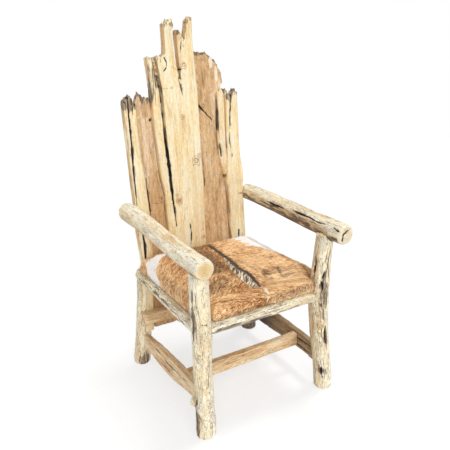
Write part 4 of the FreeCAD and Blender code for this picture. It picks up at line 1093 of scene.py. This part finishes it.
class CHAIR_OT_back_boards(bpy.types.Operator):
    """Carve the split boards of the tall back"""

    bl_idname = "chair.back_boards"
    bl_label = "Back boards"
    # Places are flat: across from the seat's middle, and up. The top has how far its stain hangs
    # down, its strength and the splinters' length. A drawn edge has its held and moved sides,
    # heights and shifts.
    pieces = (
        (Board, "outer_left_slab", UP, 101, "pale board", dict(
            sides=0.5, top=(45, 0.8, 9),
            cracks=(
                (((-235, 1118), (-236, 1045), (-236, 977), (-237, 920), (-240, 859), (-240, 776),
                  (-241, 700)), 9, 8),
                (((-230, 610), (-228, 584), (-224, 541), (-227, 479), (-229, 440)), 10, 8, 0.3),
                (((-222, 1120), (-219, 1085), (-220, 1050)), 4, 4, 0.8, 0.9),
                (((-247, 1105), (-246, 1060)), 3, 3, 0.8, 0.8),
                (((-207, 1108), (-203, 1070)), 4, 4, 0.8, 0.8),
            ),
            stain=(((-226, 1095), 30, 35, 0.7),),
            warm=(((-215, 960), 14, 60, 0.2),),
        )),
        (Board, "left_plank", UP, 103, "brown board", dict(
            sides=0.5, top=(35, 0.75, 8),
            cracks=(
                (((-142, 1029), (-141, 1020)), 13, 10, 0.2),
                (((-184, 800), (-182, 725), (-180, 686), (-177, 640)), 6, 6, 0.6),
                (((-168, 693), (-126, 688), (-100, 687)), 2, 1.5, 0.8, 0.5),
            ),
            knots=(((-124, 709), 17, 3, 0.9), ((-166, 1045), 12, 1, 0.3), ((-176, 1078), 10, 1, 0.4)),
            stain=(((-150, 1100), 40, 20, 0.5), ((-131, 900), 6, 120, 0.5)),
            warm=(((-165, 1060), 18, 40, 0.9), ((-140, 700), 30, 60, 0.6)),
            pale=(((-128, 930), 10, 140, 0.6), ((-118, 760), 8, 120, 0.5)),
        )),
        (Board, "centre_slab", UP, 107, "pale board", dict(
            sides=0.4, top=(25, 0.45, 7),
            cracks=(
                (((-124, 1360), (-119, 1268), (-110, 1210), (-97, 1143), (-95, 1082),
                  (-94, 1010)), 12.5, 10, 0.3),
                (((-97, 1143), (-95, 1060), (-92, 930), (-89, 880), (-86, 823), (-82, 713), (-77, 633),
                  (-74, 585)), 10.5, 9, 0.4),
                (((-13, 590), (-9, 546), (-13, 515), (-17, 495)), 6, 6),
                (((-72, 1262), (-61, 1241), (-61, 1226)), 4, 4),
                (((-61, 1230), (-64, 1218), (-77, 1206)), 6, 5, 0.4),
                (((-84, 1258), (-86, 1236)), 3, 3, 0.5, 0.8),
                (((-61, 1225), (-39, 1223), (-19, 1210)), 2.8, 2, 0.6, 0.8),
                (((-128, 971), (-107, 970)), 2.2, 1.5, 0.6, 0.6),
                (((-98, 1143), (-47, 1141)), 1.8, 1.2, 0.9, 0.45),
                (((-100, 686), (-74, 686)), 1.8, 1.2, 0.9, 0.5),
                (((-3, 1213), (-12, 1173), (-6, 1140), (0, 1112)), 7, 6, 0.5, 0.75),
                (((12, 1338), (8, 1300), (3, 1262)), 4, 4, 0.8, 0.7),
                (((20, 1322), (16, 1290)), 3, 3, 0.8, 0.7),
            ),
            knots=(
                ((12, 1227), 19, 3, 0.6), ((-7, 1031), 12, 2, 0.5), ((36, 850), 24, 3, 0.15),
                ((54, 870), 14, 2, 0.15), ((-57, 691), 17, 3, 0.95), ((-62, 716), 10, 2, 0.8),
                ((47, 519), 13, 2, 0.3), ((-48, 1144), 8, 1, 0.5),
            ),
            warm=(
                ((-2, 1340), 16, 30, 0.8), ((-4, 1270), 16, 60, 0.6), ((-8, 1000), 12, 40, 0.6),
                ((35, 700), 30, 200, 0.35), ((-57, 695), 16, 22, 0.8),
            ),
            stain=(
                ((-129, 1170), 22, 110, 0.5), ((-2, 1352), 12, 10, 0.8), ((-28, 1380), 12, 10, 0.8),
                ((-30, 620), 10, 160, 0.25), ((-45, 900), 8, 120, 0.18),
            ),
            drawn=((-120, -145, (1080, 1170, 1260), (0, 7, 10)), (-40, -80, (1262, 1272), (0, 14))),
        )),
        (Board, "right_plank", UP, 109, "brown board", dict(
            sides=0.4, top=(22, 0.7, 7),
            cracks=(
                (((66, 1080), (77, 1068), (103, 1040)), 10, 8, 0.2),
                (((95, 1049), (118, 1024), (140, 1002)), 5, 5),
                (((82, 790), (81, 727)), 4, 4, 0.6, 0.7),
            ),
            knots=(
                ((91, 1102), 13, 2, 0.7), ((104, 1066), 11, 2, 0.7),
                ((150, 571), 16, 2, 0.2), ((112, 1085), 8, 1, 0.3),
            ),
            warm=(((120, 1060), 30, 40, 0.5),),
            pale=(((132, 1240), 8, 30, 0.7), ((147, 1190), 8, 40, 0.7), ((156, 1140), 7, 50, 0.6)),
            drawn=((80, 150, (1110, 1130, 1230, 1280), (0, 24, 21, 18)),),
        )),
        (Board, "sliver_board", UP, 113, "honey board", dict(
            sides=0.2, top=(20, 0.4, 6),
            cracks=(
                (((162, 905), (163, 880), (164, 850)), 9, 8, 0.3),
                (((158, 1110), (158, 1016), (156, 960)), 4, 3, 0.9, 0.5),
            ),
            stain=(((160, 1000), 6, 140, 0.6), ((180, 800), 8, 50, 0.2)),
            fuller=(0, 820, 6),
        )),
        (Board, "outer_right_slab", UP, 127, "pale board", dict(
            sides=0.1, top=(30, 0.7, 8),
            cracks=(
                (((226, 1112), (224, 1094), (219, 1050), (211, 960)), 8, 8, 0.4, 0.9),
                (((211, 962), (207, 912), (210, 882)), 5, 4, 0.8, 0.8),
                (((210, 880), (213, 840)), 4, 3, 0.9, 0.5),
                (((229, 520), (228, 480)), 8, 8, 0.2),
            ),
            stain=(((212, 1100), 18, 28, 0.8), ((236, 1108), 10, 14, 0.5), ((189, 600), 6, 220, 0.3)),
            warm=(((205, 650), 30, 200, 0.3),),
            fuller=(740, 770, 4),
        )),
    )

    def execute(self, context):
        carve(context.scene.chair_wood, self.pieces)
        return {"FINISHED"}


class CHAIR_OT_hidden_wood(bpy.types.Operator):
    """Carve the battens and the seat board"""

    bl_idname = "chair.hidden_wood"
    bl_label = "Battens and seat board"
    pieces = (
        (Bar, "lower_batten", ACROSS, 131, "plain sawn", {}),
        (Bar, "middle_batten", ACROSS, 133, "plain sawn", {}),
        (Bar, "upper_batten", ACROSS, 137, "plain sawn", {}),
        (Bar, "seat_board", ACROSS, 139, "plain sawn", {}),
    )

    def execute(self, context):
        carve(context.scene.chair_wood, self.pieces)
        return {"FINISHED"}


# The seat


class CHAIR_OT_cushion(bpy.types.Operator):
    """Swell the hide over its foam and comb its coat"""

    bl_idname = "chair.cushion"
    bl_label = "Cushion"
    hide_thickness = 0.0028
    # The opening in the hide under the board, from the seat's middle: its half width, its
    # front and rear, and the place of each front leg with the hide that is left round it
    open_half_width, open_front, open_rear = 0.240, -0.274, 0.224
    leg_across, leg_front, leg_room = 0.262, -0.279, 0.072

    def execute(self, context):
        hide = context.scene.chair_hide
        piece = self.closed_form()
        voxel_skin(piece, hide.swell_cell, 4)
        self.swell(piece, hide.swell)
        self.thin_hide(piece)
        material = shared("short hair", hide_finish, hide)
        place_on_chair(piece, ["hide_cover", "seat_foam"], material)
        self.grow_coat(piece, hide, material)
        return {"FINISHED"}

    def closed_form(self):
        """The outside of the hide, with its open underside closed."""
        shape = merged("hide_cover")
        rim = min(vert.co.z for vert in shape.verts) + 3.4 * MM
        walls = [
            face for face in shape.faces
            if abs(face.normal.z) < 0.3 and max(vert.co.z for vert in face.verts) <= rim
        ]
        bmesh.ops.delete(shape, geom=walls, context="FACES")
        outside = connected(max(shape.verts, key=lambda vert: vert.co.z))
        inner = [vert for vert in shape.verts if vert not in outside]
        bmesh.ops.delete(shape, geom=inner, context="VERTS")
        open_edges = [edge for edge in shape.edges if edge.is_boundary]
        bmesh.ops.holes_fill(shape, edges=open_edges, sides=0)
        bmesh.ops.triangulate(shape, faces=shape.faces)
        return as_piece(shape, "hide_cushion")

    def swell(self, piece, reach):
        """Let cloth swell under pressure, held below and capped in its reach."""
        start = read_places(piece.data)
        low = start[:, UP].min()
        hold = piece.vertex_groups.new(name="hold")
        for vertex in piece.data.vertices:
            height = (vertex.co.z - low) / 0.03
            hold.add([vertex.index], 1.0 - min(max(height - 0.3, 0.0), 1.0), "REPLACE")
        cloth = piece.modifiers.new("Cloth", "CLOTH").settings
        for key, value in (
            ("use_pressure", True), ("uniform_pressure_force", 4.0), ("quality", 4), ("mass", 0.4),
            ("tension_stiffness", 8.0), ("compression_stiffness", 8.0), ("bending_stiffness", 0.4),
            ("vertex_group_mass", "hold"), ("pin_stiffness", 1.0),
        ):
            setattr(cloth, key, value)
        cloth.effector_weights.gravity = 0.0
        scene = bpy.context.scene
        for step in range(1, 21):
            scene.frame_set(step)
        work_in_modifiers(piece)
        moved = read_places(piece.data) - start
        far = np.linalg.norm(moved, axis=1)
        room = reach * (0.3 + 0.7 * smooth(low + 0.05, low + 0.08, start[:, UP]))
        moved *= np.minimum(1.0, room / np.maximum(far, 1e-9))[:, None]
        write_places(piece.data, start + moved)
        scene.frame_set(1)

    def thin_hide(self, piece):
        """Refine the skin, mark its coat, open it under the board and give it thickness."""
        low = read_places(piece.data)[:, UP].min()
        finer = piece.modifiers.new("Finer", "SUBSURF")
        finer.levels = finer.render_levels = 1
        work_in_modifiers(piece)
        mesh = piece.data
        coat = Coat(read_places(mesh))
        coat.write(mesh)
        write_places(mesh, coat.places + read_normals(mesh) * coat.relief()[:, None])
        shape = bmesh.new()
        shape.from_mesh(mesh)
        inside = [face for face in shape.faces if face.normal.z < -0.8 and self.under_board(face, low)]
        bmesh.ops.delete(shape, geom=inside, context="FACES")
        shape.to_mesh(mesh)
        shape.free()
        mesh.shade_smooth()
        wall = piece.modifiers.new("Thickness", "SOLIDIFY")
        wall.thickness = self.hide_thickness
        wall.offset = -1.0
        work_in_modifiers(piece)

    def under_board(self, face, low):
        middle = face.calc_center_median()
        across = abs(middle.x - SEAT_MIDDLE[0])
        front, rear = self.open_front + SEAT_MIDDLE[1], self.open_rear + SEAT_MIDDLE[1]
        if middle.z > low + 0.006 or across > self.open_half_width or not front < middle.y < rear:
            return False
        return math.hypot(across - self.leg_across, middle.y - self.leg_front) > self.leg_room

    def grow_coat(self, piece, hide, material):
        """Hairs laid along the flow of the coat, each one a thin closed spike."""
        hairs = new_piece("hide_hairs", piece.data.copy())
        tree = GeometryTree("Coat", Hairs="Float", Length="Float", Width="Float", Seed="Int")
        geometry, length, width, seed = (
            tree.given(label) for label in ("Geometry", "Length", "Width", "Seed")
        )
        density = tree.node("ShaderNodeMath", {"operation": "MULTIPLY"}, {
            0: tree.kept("hairy", "FLOAT"), 1: tree.given("Hairs"),
        })
        spread = tree.node("GeometryNodeDistributePointsOnFaces", {"distribute_method": "RANDOM"}, {
            "Mesh": geometry, "Density": density.outputs[0], "Seed": seed,
        })
        spike = tree.node("GeometryNodeMeshCone", {"fill_type": "NGON"}, {
            "Vertices": 3, "Side Segments": 1, "Radius Top": 0.0, "Radius Bottom": width, "Depth": length,
        })
        place = tree.node("GeometryNodeInputPosition").outputs[0]
        height = tree.node("ShaderNodeSeparateXYZ", None, {0: place}).outputs[2]
        share = tree.node("ShaderNodeMath", {"operation": "DIVIDE"}, {0: height, 1: length})
        tip = tree.node("GeometryNodeStoreNamedAttribute", {"data_type": "FLOAT", "domain": "POINT"}, {
            "Geometry": spike.outputs["Mesh"], "Name": "tip", "Value": share.outputs[0],
        })
        stray = tree.node("FunctionNodeRandomValue", {"data_type": "FLOAT_VECTOR"}, {
            "Min": (-0.28, -0.28, -0.05), "Max": (0.28, 0.28, 0.25), "Seed": seed,
        })
        bent = tree.node("ShaderNodeVectorMath", {"operation": "ADD"}, {
            0: tree.kept("comb"), 1: stray.outputs[0],
        })
        size = tree.node("FunctionNodeRandomValue", {"data_type": "FLOAT"}, {2: 0.55, 3: 1.25, "Seed": seed})
        turn = tree.toward(bent.outputs[0])
        tree.place_copies(spread.outputs["Points"], tip.outputs[0], turn, size.outputs[1])
        haired_area = 0.42
        tree.work_on(
            hairs, Hairs=hide.hair_count / haired_area, Length=hide.hair_length, Width=0.00055, Seed=5,
            Material=material,
        )
        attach(hairs, "root")


class Coat:
    """How the hair lies over the seat, and the colour it has at each place."""

    spine = (
        (4.9, 225), (4.9, 208.6), (-5.8, 100.9), (-11.4, 13.6), (-19.7, -65.7),
        (-32.4, -147.3), (-28.8, -206.7), (-23.3, -248.1), (-21.2, -276),
    )
    # Where the hair parts, as y and x: out along the front edge, then up the spine
    parting = (
        (-400, 260), (-345, 215), (-300, 60), (-276, -21.2), (-206.7, -28.8), (-147.3, -32.4),
        (-65.7, -19.7), (13.6, -11.4), (100.9, -5.8), (225, 4.9),
    )
    tufts = ((-17.8, -268), (-10.4, -305), (-7.3, -335), (-15, -365))
    # Golden ridges, raised in the relief, with a painted highlight along each
    highlit_ridges = (
        ((-96, -200), (-75, -222), (-62, -232)), ((-135, -191), (-118, -222), (-105, -234)),
        ((-54, -243), (-34, -264)), ((-150, -120), (-120, -150)), ((60, -180), (100, -200)),
    )
    # Each whorl's place, its size across in metres and its strength
    whorls = (
        (36, -226, 0.016, 1.0), (98, -235, 0.015, 0.9), (128, -205, 0.012, 0.5), (-62, -196, 0.018, 0.6),
    )
    # Dark and light stretches: a place, how far it reaches across and along, and its strength. The dark ones
    # are darker hair and painted shade, as along the front lip's lower edge; the light ones are paler hair
    # and painted highlights, as along the front lip
    dark_and_shaded_stretches = (
        (-150, -390, 160, 22, 0.55), (100, -362, 140, 20, 0.6),
        (-75, 30, 45, 100, 0.85), (-105, -85, 50, 70, 0.75), (-64, -94, 25, 50, 0.6),
        (-165, -205, 70, 50, 0.60), (-60, -165, 30, 30, 0.3), (-40, 150, 40, 80, 0.5),
        (-300, -60, 30, 120, 0.3), (10, -120, 12, 80, 0.3), (-240, 190, 50, 20, 0.3),
        (62, -212, 50, 20, 0.45), (120, -250, 50, 12, 0.4), (150, -205, 50, 12, 0.3),
    )
    lights = (
        (-123, -325, 50, 22, 0.42), (-25, -322, 30, 20, 0.4), (130, -332, 60, 18, 0.36),
        (195, -125, 18, 50, 0.5), (-200, -240, 30, 20, 0.36), (60, 40, 50, 40, 0.22),
        (-290, -40, 30, 30, 0.4), (-255, 80, 20, 20, 0.6),
    )

    def __init__(self, places):
        self.places = places
        drop = places[:, UP].max() - places[:, UP]
        lip = smooth(0.20, 0.29, -places[:, 1]) * drop
        side = smooth(0.20, 0.26, np.abs(places[:, 0] - SEAT_MIDDLE[0])) * drop
        across = places[:, 0] + np.sign(places[:, 0]) * side
        self.laid = np.stack((across, places[:, 1] - lip), axis=1)
        self.gap = self.beside(self.spine)
        spots = np.array(self.spine)[::-1] * MM
        self.offset = across - np.interp(self.laid[:, 1], spots[:, 1], spots[:, 0])
        part = np.array(self.parting) * MM
        self.parted = across - np.interp(self.laid[:, 1], part[:, 0], part[:, 1])

    def beside(self, line):
        """Distance over the laid-out hide from a line in millimetres."""
        return along_line(self.laid, np.array(line) * MM)[0]

    def beside_whorl(self, x, y):
        """Distance and heading from a whorl's middle; whorls are long toward the back."""
        away = (self.laid - np.array((x, y)) * MM) * np.array((1.0, 0.42))
        return np.linalg.norm(away, axis=1), np.arctan2(away[:, 1], away[:, 0])

    def soft_noise(self, cell, seed):
        flat = np.stack((self.laid[:, 0], self.laid[:, 1], np.zeros(len(self.laid))), axis=1)
        return noise(flat, (cell, cell, cell), seed) - 0.5

    def stretches(self, rows):
        """The sum of soft-edged ovals over the hide."""
        total = np.zeros(len(self.laid))
        for x, y, across, along, strength in rows:
            oval = (self.laid / MM - np.array((x, y))) / np.array((across, along))
            total += strength * (1 - smooth(0.4, 1.2, np.linalg.norm(oval, axis=1)))
        return total

    def flow(self):
        """Across and along the hair, in metres, for the fine pattern."""
        far = np.abs(self.parted)
        bend = 0.5 * far + 0.048 * (1 - np.exp(-far / 0.08))
        waves = self.soft_noise(0.03, 6) * 0.012 + self.soft_noise(0.012, 7) * 0.004
        across = self.laid[:, 1] + bend + waves
        along = 0.7 * far - 0.7 * self.laid[:, 1]
        for x, y, size, strength in self.whorls:
            gap, _ = self.beside_whorl(x, y)
            across = across + 0.9 * size * strength * np.exp(-(gap / (size * 1.6)) ** 2)
        return np.stack((across, along, np.sign(self.parted) * 0.3), axis=1)

    def comb(self, normals):
        """The way each hair lies: out from the spine, forward and a little up."""
        far = np.abs(self.parted)
        forward = 0.6 * np.exp(-far / 0.08) + 0.5
        lie = np.stack((np.sign(self.parted), -forward, np.zeros(len(far))), axis=1)
        lie -= normals * np.sum(lie * normals, axis=1)[:, None]
        lie /= np.maximum(np.linalg.norm(lie, axis=1), 1e-6)[:, None]
        return lie + normals * 0.25

    def relief(self):
        """Lumps and combed ridges in the hide, in metres."""
        ridges = noise(self.flow(), (0.012, 0.05, 0.5), 5) - 0.5
        height = 0.0035 * self.soft_noise(0.06, 3) + 0.003 * self.soft_noise(0.022, 4) + 0.002 * ridges
        height -= 0.0022 * (1 - smooth(0.0, 0.012, self.gap))
        height += 0.002 * self.crest()
        for line in self.highlit_ridges:
            height += 0.002 * (1 - smooth(0.002, 0.012, self.beside(line)))
        for x, y, size, strength in self.whorls:
            gap, _ = self.beside_whorl(x, y)
            height -= 0.004 * strength * np.exp(-(gap / size) ** 2)
        return height

    def crest(self):
        """1 on the standing hair just left of the spine's front half."""
        along = self.laid[:, 1]
        spots, widths = (-0.285, -0.25, -0.21, -0.14, -0.045, 0.01), (0.026, 0.036, 0.044, 0.032, 0.018, 0.0)
        reach = np.interp(along, spots, widths)
        out = -self.offset / np.maximum(reach, 1e-6)
        ends = smooth(0.288, 0.268, -along) * smooth(-0.02, 0.04, -along)
        return smooth(0.05, 0.25, out) * (1 - smooth(0.7, 1.15, out)) * ends

    def white(self, ragged):
        """The two white patches, at the rear left and the rear right."""
        x, y = self.laid[:, 0] + ragged * 0.03, self.laid[:, 1] + ragged * 0.05
        spots = (-0.36, -0.338, -0.302, -0.251, -0.206, -0.16)
        front = np.interp(x, spots, (0.0, 0.03, 0.095, 0.115, 0.14, 0.165))
        rear = np.interp(x, (-0.36, -0.30, -0.25, -0.20, -0.16), (0.115, 0.18, 0.19, 0.20, 0.20))
        left = smooth(-0.008, 0.010, y - front) * (1 - smooth(-0.008, 0.010, y - rear))
        left *= 1 - smooth(-0.17, -0.14, x)
        spots = (0.10, 0.12, 0.131, 0.15, 0.198, 0.24, 0.30)
        edge = np.interp(x, spots, (0.30, 0.135, 0.045, 0.015, -0.012, -0.03, -0.06))
        return np.maximum(left, smooth(-0.008, 0.012, y - edge))

    def shade(self):
        """Darker hair and painted shade: dark stretches, painted shade on the hollow sides of the whorls,
        and a dark line by the right rim.
        """
        total = self.stretches(self.dark_and_shaded_stretches)
        for x, y, size, strength in self.whorls:
            gap, heading = self.beside_whorl(x, y)
            # The whorl's hollow side is painted shade
            turn = 0.65 + 0.35 * np.cos(heading - 2.4)
            total += 1.1 * strength * turn * np.exp(-((gap - size * 0.7) / (size * 0.36)) ** 2)
        rim = np.exp(-((self.laid[:, 0] - 0.226) / 0.007) ** 2) * smooth(0.02, 0.06, -self.laid[:, 1])
        return np.clip(total + 0.6 * rim, 0, 1)

    def pale(self):
        """Paler hair and painted highlights: light stretches, tufts below the spine and a painted highlight
        along the golden ridges.
        """
        total = self.stretches(self.lights) + 0.62 * (1 - smooth(0.001, 0.010, self.beside(self.tufts)))
        for line in self.highlit_ridges:
            total += 0.42 * (1 - smooth(0.001, 0.007, self.beside(line)))
        return np.clip(total, 0, 1)

    def write(self, mesh):
        """Keep the way the hair lies and all its marks on the mesh."""
        normals = read_normals(mesh)
        flow = self.flow()
        ragged = noise(flow, (0.006, 0.03, 0.5), 8) - 0.5
        along = self.laid[:, 1]
        half = np.interp(along, (-0.28, -0.25, -0.15, -0.05, 0.2), (0.004, 0.0075, 0.009, 0.010, 0.009))
        spine = 1 - smooth(0.3, 1.6, (self.gap + ragged * 0.006) / half)
        spine *= np.interp(along, (-0.05, 0.06), (1.0, 0.8))
        bright = np.interp(self.offset, (-0.30, -0.16, -0.03, 0.0, 0.03), (0.9, 0.35, -0.4, -0.3, 0.75))
        marks = {
            "lay": flow, "comb": self.comb(normals), "spine": spine, "crest": self.crest(),
            "pale": self.pale(), "white": self.white(ragged), "shade": self.shade(),
            "bright": bright, "hairy": smooth(-0.5, 0.1, normals[:, UP]),
        }
        for name, values in marks.items():
            write_mark(mesh, name, values)


# Screws, staples and dowels


class CHAIR_OT_fastenings(bpy.types.Operator):
    """Set the screws, the staples and the dowels where the frame has them"""

    bl_idname = "chair.fastenings"
    bl_label = "Fastenings"

    def execute(self, context):
        steel = shared("steel", steel_finish)
        for node in ("batten_screws", "bar_screws", "lap_screws", "seat_screws"):
            self.rods(node, 12, "steel", steel)
        self.rods("arm_dowels", 24, "sawn_wood", shared("plain sawn", sawn_finish))
        self.staples(steel)
        return {"FINISHED"}

    def islands(self, node):
        """The separate solids of a node, each as an array of places."""
        shape = merged(node)
        left, found = set(shape.verts), []
        while left:
            solid = connected(min(left, key=lambda vert: vert.index))
            left -= solid
            found.append(np.array([vert.co[:] for vert in solid]))
        shape.free()
        return found

    def spots(self, node, rows):
        """A mesh of points with a way and a size each."""
        name = "set_" + node
        mesh = bpy.data.meshes.new(name)
        places, ways, sizes = zip(*rows)
        mesh.from_pydata(places, [], [])
        write_mark(mesh, "way", np.array(ways))
        write_mark(mesh, "size", np.array(sizes))
        return new_piece(name, mesh)

    def rods(self, node, sides, slot, material):
        """A cylinder for each dowel or shank, and another for each head."""
        rows = []
        for places in self.islands(node):
            middle = places.mean(axis=0)
            way = np.linalg.svd(places - middle)[2][0]
            reach = (places - middle) @ way
            aside = np.linalg.norm(places - middle - reach[:, None] * way, axis=1)
            for radius in sorted({round(float(value), 5) for value in aside}):
                part = reach[np.abs(aside - radius) < 2e-5]
                centre = middle + way * (part.max() + part.min()) / 2
                rows.append((centre, way, (radius, radius, part.max() - part.min())))
        piece = self.spots(node, rows)
        tree = GeometryTree("Rods " + node, Sides="Int")
        rod = tree.node("GeometryNodeMeshCylinder", None, {
            "Vertices": tree.given("Sides"), "Radius": 1.0, "Depth": 1.0,
        })
        turn = tree.toward(tree.kept("way"))
        tree.place_copies(tree.given("Geometry"), rod.outputs["Mesh"], turn, tree.kept("size"))
        tree.work_on(piece, Sides=sides, Material=material)
        place_on_chair(piece, [node], material)

    def staples(self, steel):
        """Each a crown under the hide with two legs up into the board."""
        rows = []
        for places in self.islands("hide_staples"):
            low, high = places.min(axis=0), places.max(axis=0)
            size = high - low
            turn = 0.0 if size[0] > size[1] else math.pi / 2
            rows.append(((low + high) / 2, (0.0, 0.0, turn), (1.0, 1.0, 1.0)))
            width, wire, length = max(size[:2]), min(size[:2]), size[2]
        piece = self.spots("hide_staples", rows)
        tree = GeometryTree(
            "Staples", Crown_size="Vector", Crown_place="Vector", Leg_size="Vector", Leg_place="Vector",
        )
        right = tree.given("Leg place")
        mirror = {0: right, 1: (-1.0, 1.0, 1.0)}
        left = tree.node("ShaderNodeVectorMath", {"operation": "MULTIPLY"}, mirror).outputs[0]
        joined = tree.node("GeometryNodeJoinGeometry")
        for size, place in (
            ("Crown size", tree.given("Crown place")), ("Leg size", right), ("Leg size", left),
        ):
            block = tree.node("GeometryNodeMeshCube", None, {"Size": tree.given(size)}).outputs["Mesh"]
            moved = tree.node("GeometryNodeTransform", None, {"Geometry": block, "Translation": place})
            tree.feed(joined.inputs[0], moved.outputs[0])
        tree.place_copies(tree.given("Geometry"), joined.outputs[0], tree.kept("way"), tree.kept("size"))
        tree.work_on(
            piece, Crown_size=(width, wire, wire), Crown_place=(0.0, 0.0, (wire - length) / 2),
            Leg_size=(wire, wire, length), Leg_place=((width - wire) / 2, 0.0, 0.0), Material=steel,
        )
        place_on_chair(piece, ["hide_staples"], steel)


# Stage


class CHAIR_OT_stage(bpy.types.Operator):
    """Set the floor, the lamps, the backdrop and the camera"""

    bl_idname = "chair.stage"
    bl_label = "Stage"
    # The camera's place, and its heading, rise and roll in degrees
    camera_place = (-0.97260, -1.59744, 1.27124)
    camera_turns = (-31.233, 18.399, -0.817)
    # Each lamp's heading, rise and spread in degrees
    top_lamp = (95.0, 74.0, 14.0)
    front_lamp = (-15.0, 32.0, 50.0)

    def execute(self, context):
        stage = context.scene.chair_stage
        context.scene.view_settings.view_transform = "Standard"
        self.add_floor(stage)
        self.add_lamp("top lamp", *self.top_lamp, stage.top_lamp)
        self.add_lamp("front lamp", *self.front_lamp, stage.front_lamp)
        self.add_backdrop(context.scene, stage)
        self.add_camera(context.scene, stage)
        return {"FINISHED"}

    def from_middle(self, heading, rise):
        """The way from the chair to a heading and a rise, both in degrees."""
        turn, rise = math.radians(heading), math.radians(rise)
        return Vector((math.sin(turn) * math.cos(rise), -math.cos(turn) * math.cos(rise), math.sin(rise)))

    def add_floor(self, stage):
        shape = bmesh.new()
        bmesh.ops.create_grid(shape, x_segments=2, y_segments=2, size=6.0)
        floor = as_piece(shape, "floor")
        floor.data.materials.append(floor_finish("pale floor", tuple(stage.floor), stage.floor_lift))

    def add_lamp(self, name, heading, rise, spread, strength):
        data = bpy.data.lights.new(name, "SUN")
        data.energy = strength
        data.angle = math.radians(spread)
        lamp = bpy.data.objects.new(name, data)
        lamp.rotation_euler = self.from_middle(heading, rise).to_track_quat("Z", "Y").to_euler()
        bpy.context.scene.collection.objects.link(lamp)

    def add_backdrop(self, scene, stage):
        """Even light on the chair, and plain white behind it."""
        world = bpy.data.worlds.new("even light")
        world.use_nodes = True
        nodes = Nodes(world.node_tree)
        white = (1.0, 1.0, 1.0)
        lit = nodes.node("ShaderNodeBackground", None, {"Color": white, "Strength": stage.sky})
        plain_white = nodes.node("ShaderNodeBackground", None, {"Color": white})
        nodes.node("ShaderNodeOutputWorld", None, {0: nodes.mix(nodes.seen(), lit, plain_white)})
        scene.world = world

    def add_camera(self, scene, stage):
        data = bpy.data.cameras.new("camera")
        data.lens = stage.lens
        data.sensor_width = 36.0
        camera = bpy.data.objects.new("camera", data)
        heading, rise, roll = self.camera_turns
        roll = math.radians(roll)
        back = self.from_middle(heading, rise)
        right = (-back).cross(Vector((0.0, 0.0, 1.0))).normalized()
        up = right.cross(-back)
        across = math.cos(roll) * right + math.sin(roll) * up
        above = -math.sin(roll) * right + math.cos(roll) * up
        facing = Matrix((across, above, back)).transposed()
        camera.matrix_world = Matrix.Translation(self.camera_place) @ facing.to_4x4()
        scene.collection.objects.link(camera)
        scene.camera = camera


class CHAIR_PT_panel(bpy.types.Panel):
    """The chair's settings and pieces"""

    bl_label = "Log Chair"
    bl_idname = "CHAIR_PT_panel"
    bl_space_type = "VIEW_3D"
    bl_region_type = "UI"
    bl_category = "Log Chair"

    def draw(self, context):
        for name in SETTINGS:
            settings = getattr(context.scene, name)
            box = self.layout.box()
            box.label(text=name.replace("chair_", "").capitalize())
            for key in settings.bl_rna.properties.keys():
                if key not in ("rna_type", "name"):
                    box.prop(settings, key)
        for operator in OPERATORS:
            self.layout.operator(operator.bl_idname)


SETTINGS = {
    "chair_wood": ChairWoodSettings, "chair_hide": ChairHideSettings, "chair_stage": ChairStageSettings,
}
OPERATORS = (
    CHAIR_OT_front_legs, CHAIR_OT_back_legs, CHAIR_OT_arms, CHAIR_OT_seat_rails, CHAIR_OT_stretchers,
    CHAIR_OT_back_boards, CHAIR_OT_hidden_wood, CHAIR_OT_cushion, CHAIR_OT_fastenings, CHAIR_OT_stage,
)
CLASSES = (*SETTINGS.values(), *OPERATORS, CHAIR_PT_panel)


def register():
    for kind in CLASSES:
        bpy.utils.register_class(kind)
    for name, kind in SETTINGS.items():
        setattr(bpy.types.Scene, name, bpy.props.PointerProperty(type=kind))


def unregister():
    for name in SETTINGS:
        delattr(bpy.types.Scene, name)
    for kind in reversed(CLASSES):
        bpy.utils.unregister_class(kind)


def main():
    register()
    for operator in OPERATORS:
        group, name = operator.bl_idname.split(".")
        getattr(getattr(bpy.ops, group), name)()


if __name__ == "__main__":
    main()
